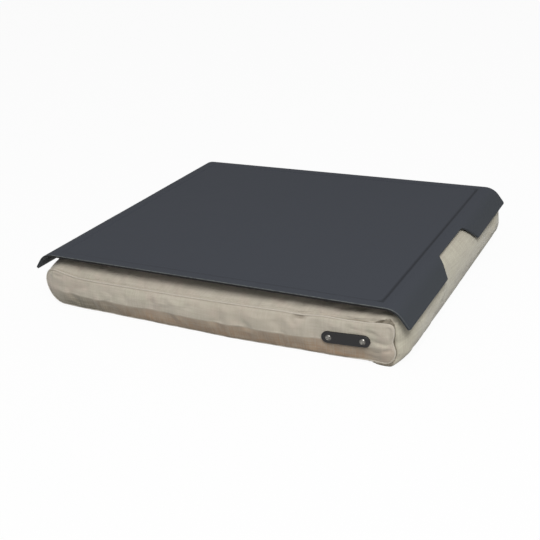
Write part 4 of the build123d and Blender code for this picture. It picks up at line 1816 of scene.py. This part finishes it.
@dataclass
class Tray:
    """The moulded tray, whose CAD shape stays. Lengths are in millimetres."""

    depth: float = 380.0
    recess_half_width: float = 198.6
    recess_half_depth: float = 179.0
    riser: float = 3.0

    def make(self, groups: Groups) -> None:
        """Give the tray its slate lacquer, a painted highlight on rubbed rims and a painted shade recess
        line.

        Args:
            groups: The shared node groups.
        """
        finish = Lacquer("slate_lacquer", (0.226, 0.238, 0.264), (0.240, 0.252, 0.276), 0.6, 1100.0,
                         half_depth=self.depth / 2, riser=self.riser,
                         recess=(self.recess_half_width, self.recess_half_depth))
        dress("tray_shell", finish.make(groups))


@dataclass
class Fittings:
    """The label with its rivets, the zip, and the hook and loop strips, in their CAD shapes."""

    finishes: tuple[tuple[Finish, tuple[str, ...]], ...] = (
        (Moulded("label_rubber", (0.062, 0.055, 0.062), (0.085, 0.078, 0.085), 0.6, 1600.0), ("label_tag",)),
        (Fitting("rivet_nickel", Metal.NICKEL), ("label_rivets", "rivet_washers")),
        (Fitting("zip_nickel", Metal.DARK_NICKEL),
         ("zip_slider", "zip_pull", "zip_top_stops", "zip_bottom_stop")),
        (Moulded("zip_teeth_resin", (0.52, 0.47, 0.40), (0.57, 0.52, 0.45), 0.4, 1500.0),
         ("zip_teeth_upper", "zip_teeth_lower")),
        (Moulded("zip_tape_weave", (0.56, 0.51, 0.44), (0.50, 0.46, 0.39), 0.85, 1900.0, 0.12 * MM),
         ("zip_tape_upper", "zip_tape_lower")),
        (Pile("hook_pile", (0.16, 0.16, 0.17), Nap.HOOKS), ("hook_strip_left", "hook_strip_right")),
        (Pile("loop_pile", (0.20, 0.20, 0.21), Nap.LOOPS), ("loop_strip_left", "loop_strip_right")),
    )

    def make(self, groups: Groups) -> None:
        """Give each node its finish.

        Args:
            groups: The shared node groups.
        """
        for finish, nodes in self.finishes:
            material = finish.make(groups)
            for node in nodes:
                dress(node, material)


@dataclass
class Studio:
    """The floor, the light and the camera. The camera's lengths are in millimetres."""

    azimuth: float = 28.0576
    elevation: float = 23.5753
    roll: float = -3.6127
    distance: float = 1107.25
    aim: Point = (-3.52, -29.94, 8.25)
    focal_length: float = 60.02
    sky_low: float = 0.12
    sky_high: float = 0.58
    floor_half: float = 6.0
    floor_gap: float = 0.0002
    floor_show: float = 0.9
    floor_glow: float = 1.04
    floor_colour: float = 0.45
    lamp_place: Point = (1.0, -1.52, 1.98)
    lamp_side: float = 1.0
    lamp_power: float = 58.0

    def make_camera(self) -> None:
        """Stand the camera at the photograph's place: azimuth from the front, turned by a roll."""
        turn, lift, roll = (np.radians(part) for part in (self.azimuth, self.elevation, self.roll))
        back = np.array([np.sin(turn) * np.cos(lift), -np.cos(turn) * np.cos(lift), np.sin(lift)])
        level = np.array([np.cos(turn), np.sin(turn), 0])
        up = np.cross(back, level)
        right = np.cos(roll) * level + np.sin(roll) * up
        rolled_up = -np.sin(roll) * level + np.cos(roll) * up
        place = (np.array(self.aim) + self.distance * back) * MM
        data = bpy.data.cameras.new("photo_view")
        data.lens, data.sensor_width, data.clip_start = self.focal_length, 36.0, 0.01
        camera = bpy.data.objects.new("photo_view", data)
        axes = Matrix(np.column_stack([right, rolled_up, back]).tolist()).to_4x4()
        camera.matrix_world = Matrix.Translation(place.tolist()) @ axes
        bpy.context.scene.collection.objects.link(camera)
        bpy.context.scene.camera = camera

    def make_floor(self) -> None:
        """A plain pale floor that the camera sees nearly white, with the object's own shadow."""
        half = self.floor_half
        corners = [(-half, -half), (half, -half), (half, half), (-half, half)]
        mesh = bpy.data.meshes.new("floor")
        mesh.from_pydata([(*corner, -self.floor_gap) for corner in corners], [], [(0, 1, 2, 3)])
        material, graph, shader = new_material("pale_floor")
        graph.feed(shader, {"Base Color": (*[self.floor_colour] * 3, 1.0), "Roughness": 0.9,
                            "Specular IOR Level": 0.0})
        glow = graph.put("ShaderNodeEmission", {"Color": (1, 1, 1, 1), "Strength": self.floor_glow})
        share = graph.times(graph.seen("Camera", "Glossy", "Transmission"), self.floor_show)
        mixed = graph.put("ShaderNodeMixShader", {0: share, 1: shader.outputs[0], 2: glow.outputs[0]})
        graph.feed(graph.tree.nodes["Material Output"], {"Surface": mixed.outputs[0]})
        mesh.materials.append(material)
        floor = bpy.data.objects.new("floor", mesh)
        bpy.context.scene.collection.objects.link(floor)

    def make_sky(self) -> None:
        """A sky that is brighter overhead, and that the camera sees as white."""
        world = bpy.data.worlds.new("studio")
        world.use_nodes = True
        graph = Graph(world.node_tree)
        graph.tree.nodes.clear()
        up = graph.split(graph.put("ShaderNodeTexCoord").outputs["Generated"])[2]
        light = graph.fade(up, -0.1, 0.9, self.sky_low, self.sky_high)
        more = graph.times(graph.math("SUBTRACT", 1.0, light), graph.seen("Camera", "Transmission"))
        strength = graph.math("ADD", more, light)
        glow = graph.put("ShaderNodeBackground", {"Color": (1, 1, 1, 1), "Strength": strength})
        graph.put("ShaderNodeOutputWorld", {"Surface": glow.outputs[0]})
        bpy.context.scene.world = world

    def make_lamp(self) -> None:
        """A large soft lamp that faces the object."""
        data = bpy.data.lights.new("key", "AREA")
        data.shape, data.size, data.energy = "SQUARE", self.lamp_side, self.lamp_power
        lamp = bpy.data.objects.new("key", data)
        turned = (-Vector(self.lamp_place)).to_track_quat("-Z", "Y").to_matrix().to_4x4()
        lamp.matrix_world = Matrix.Translation(self.lamp_place) @ turned
        bpy.context.scene.collection.objects.link(lamp)

    def make(self) -> None:
        """Build the whole studio."""
        self.make_camera()
        self.make_floor()
        self.make_sky()
        self.make_lamp()
        bpy.context.scene.view_settings.view_transform = "Standard"


def main() -> None:
    """Build every piece in order."""
    logging.basicConfig(level=logging.INFO, format="%(name)s: %(message)s")
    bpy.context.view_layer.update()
    groups = Groups()
    Studio().make()
    LOG.info("studio is ready")
    Cushion().make(groups)
    Tray().make(groups)
    Fittings().make(groups)


if __name__ == "__main__":
    main()
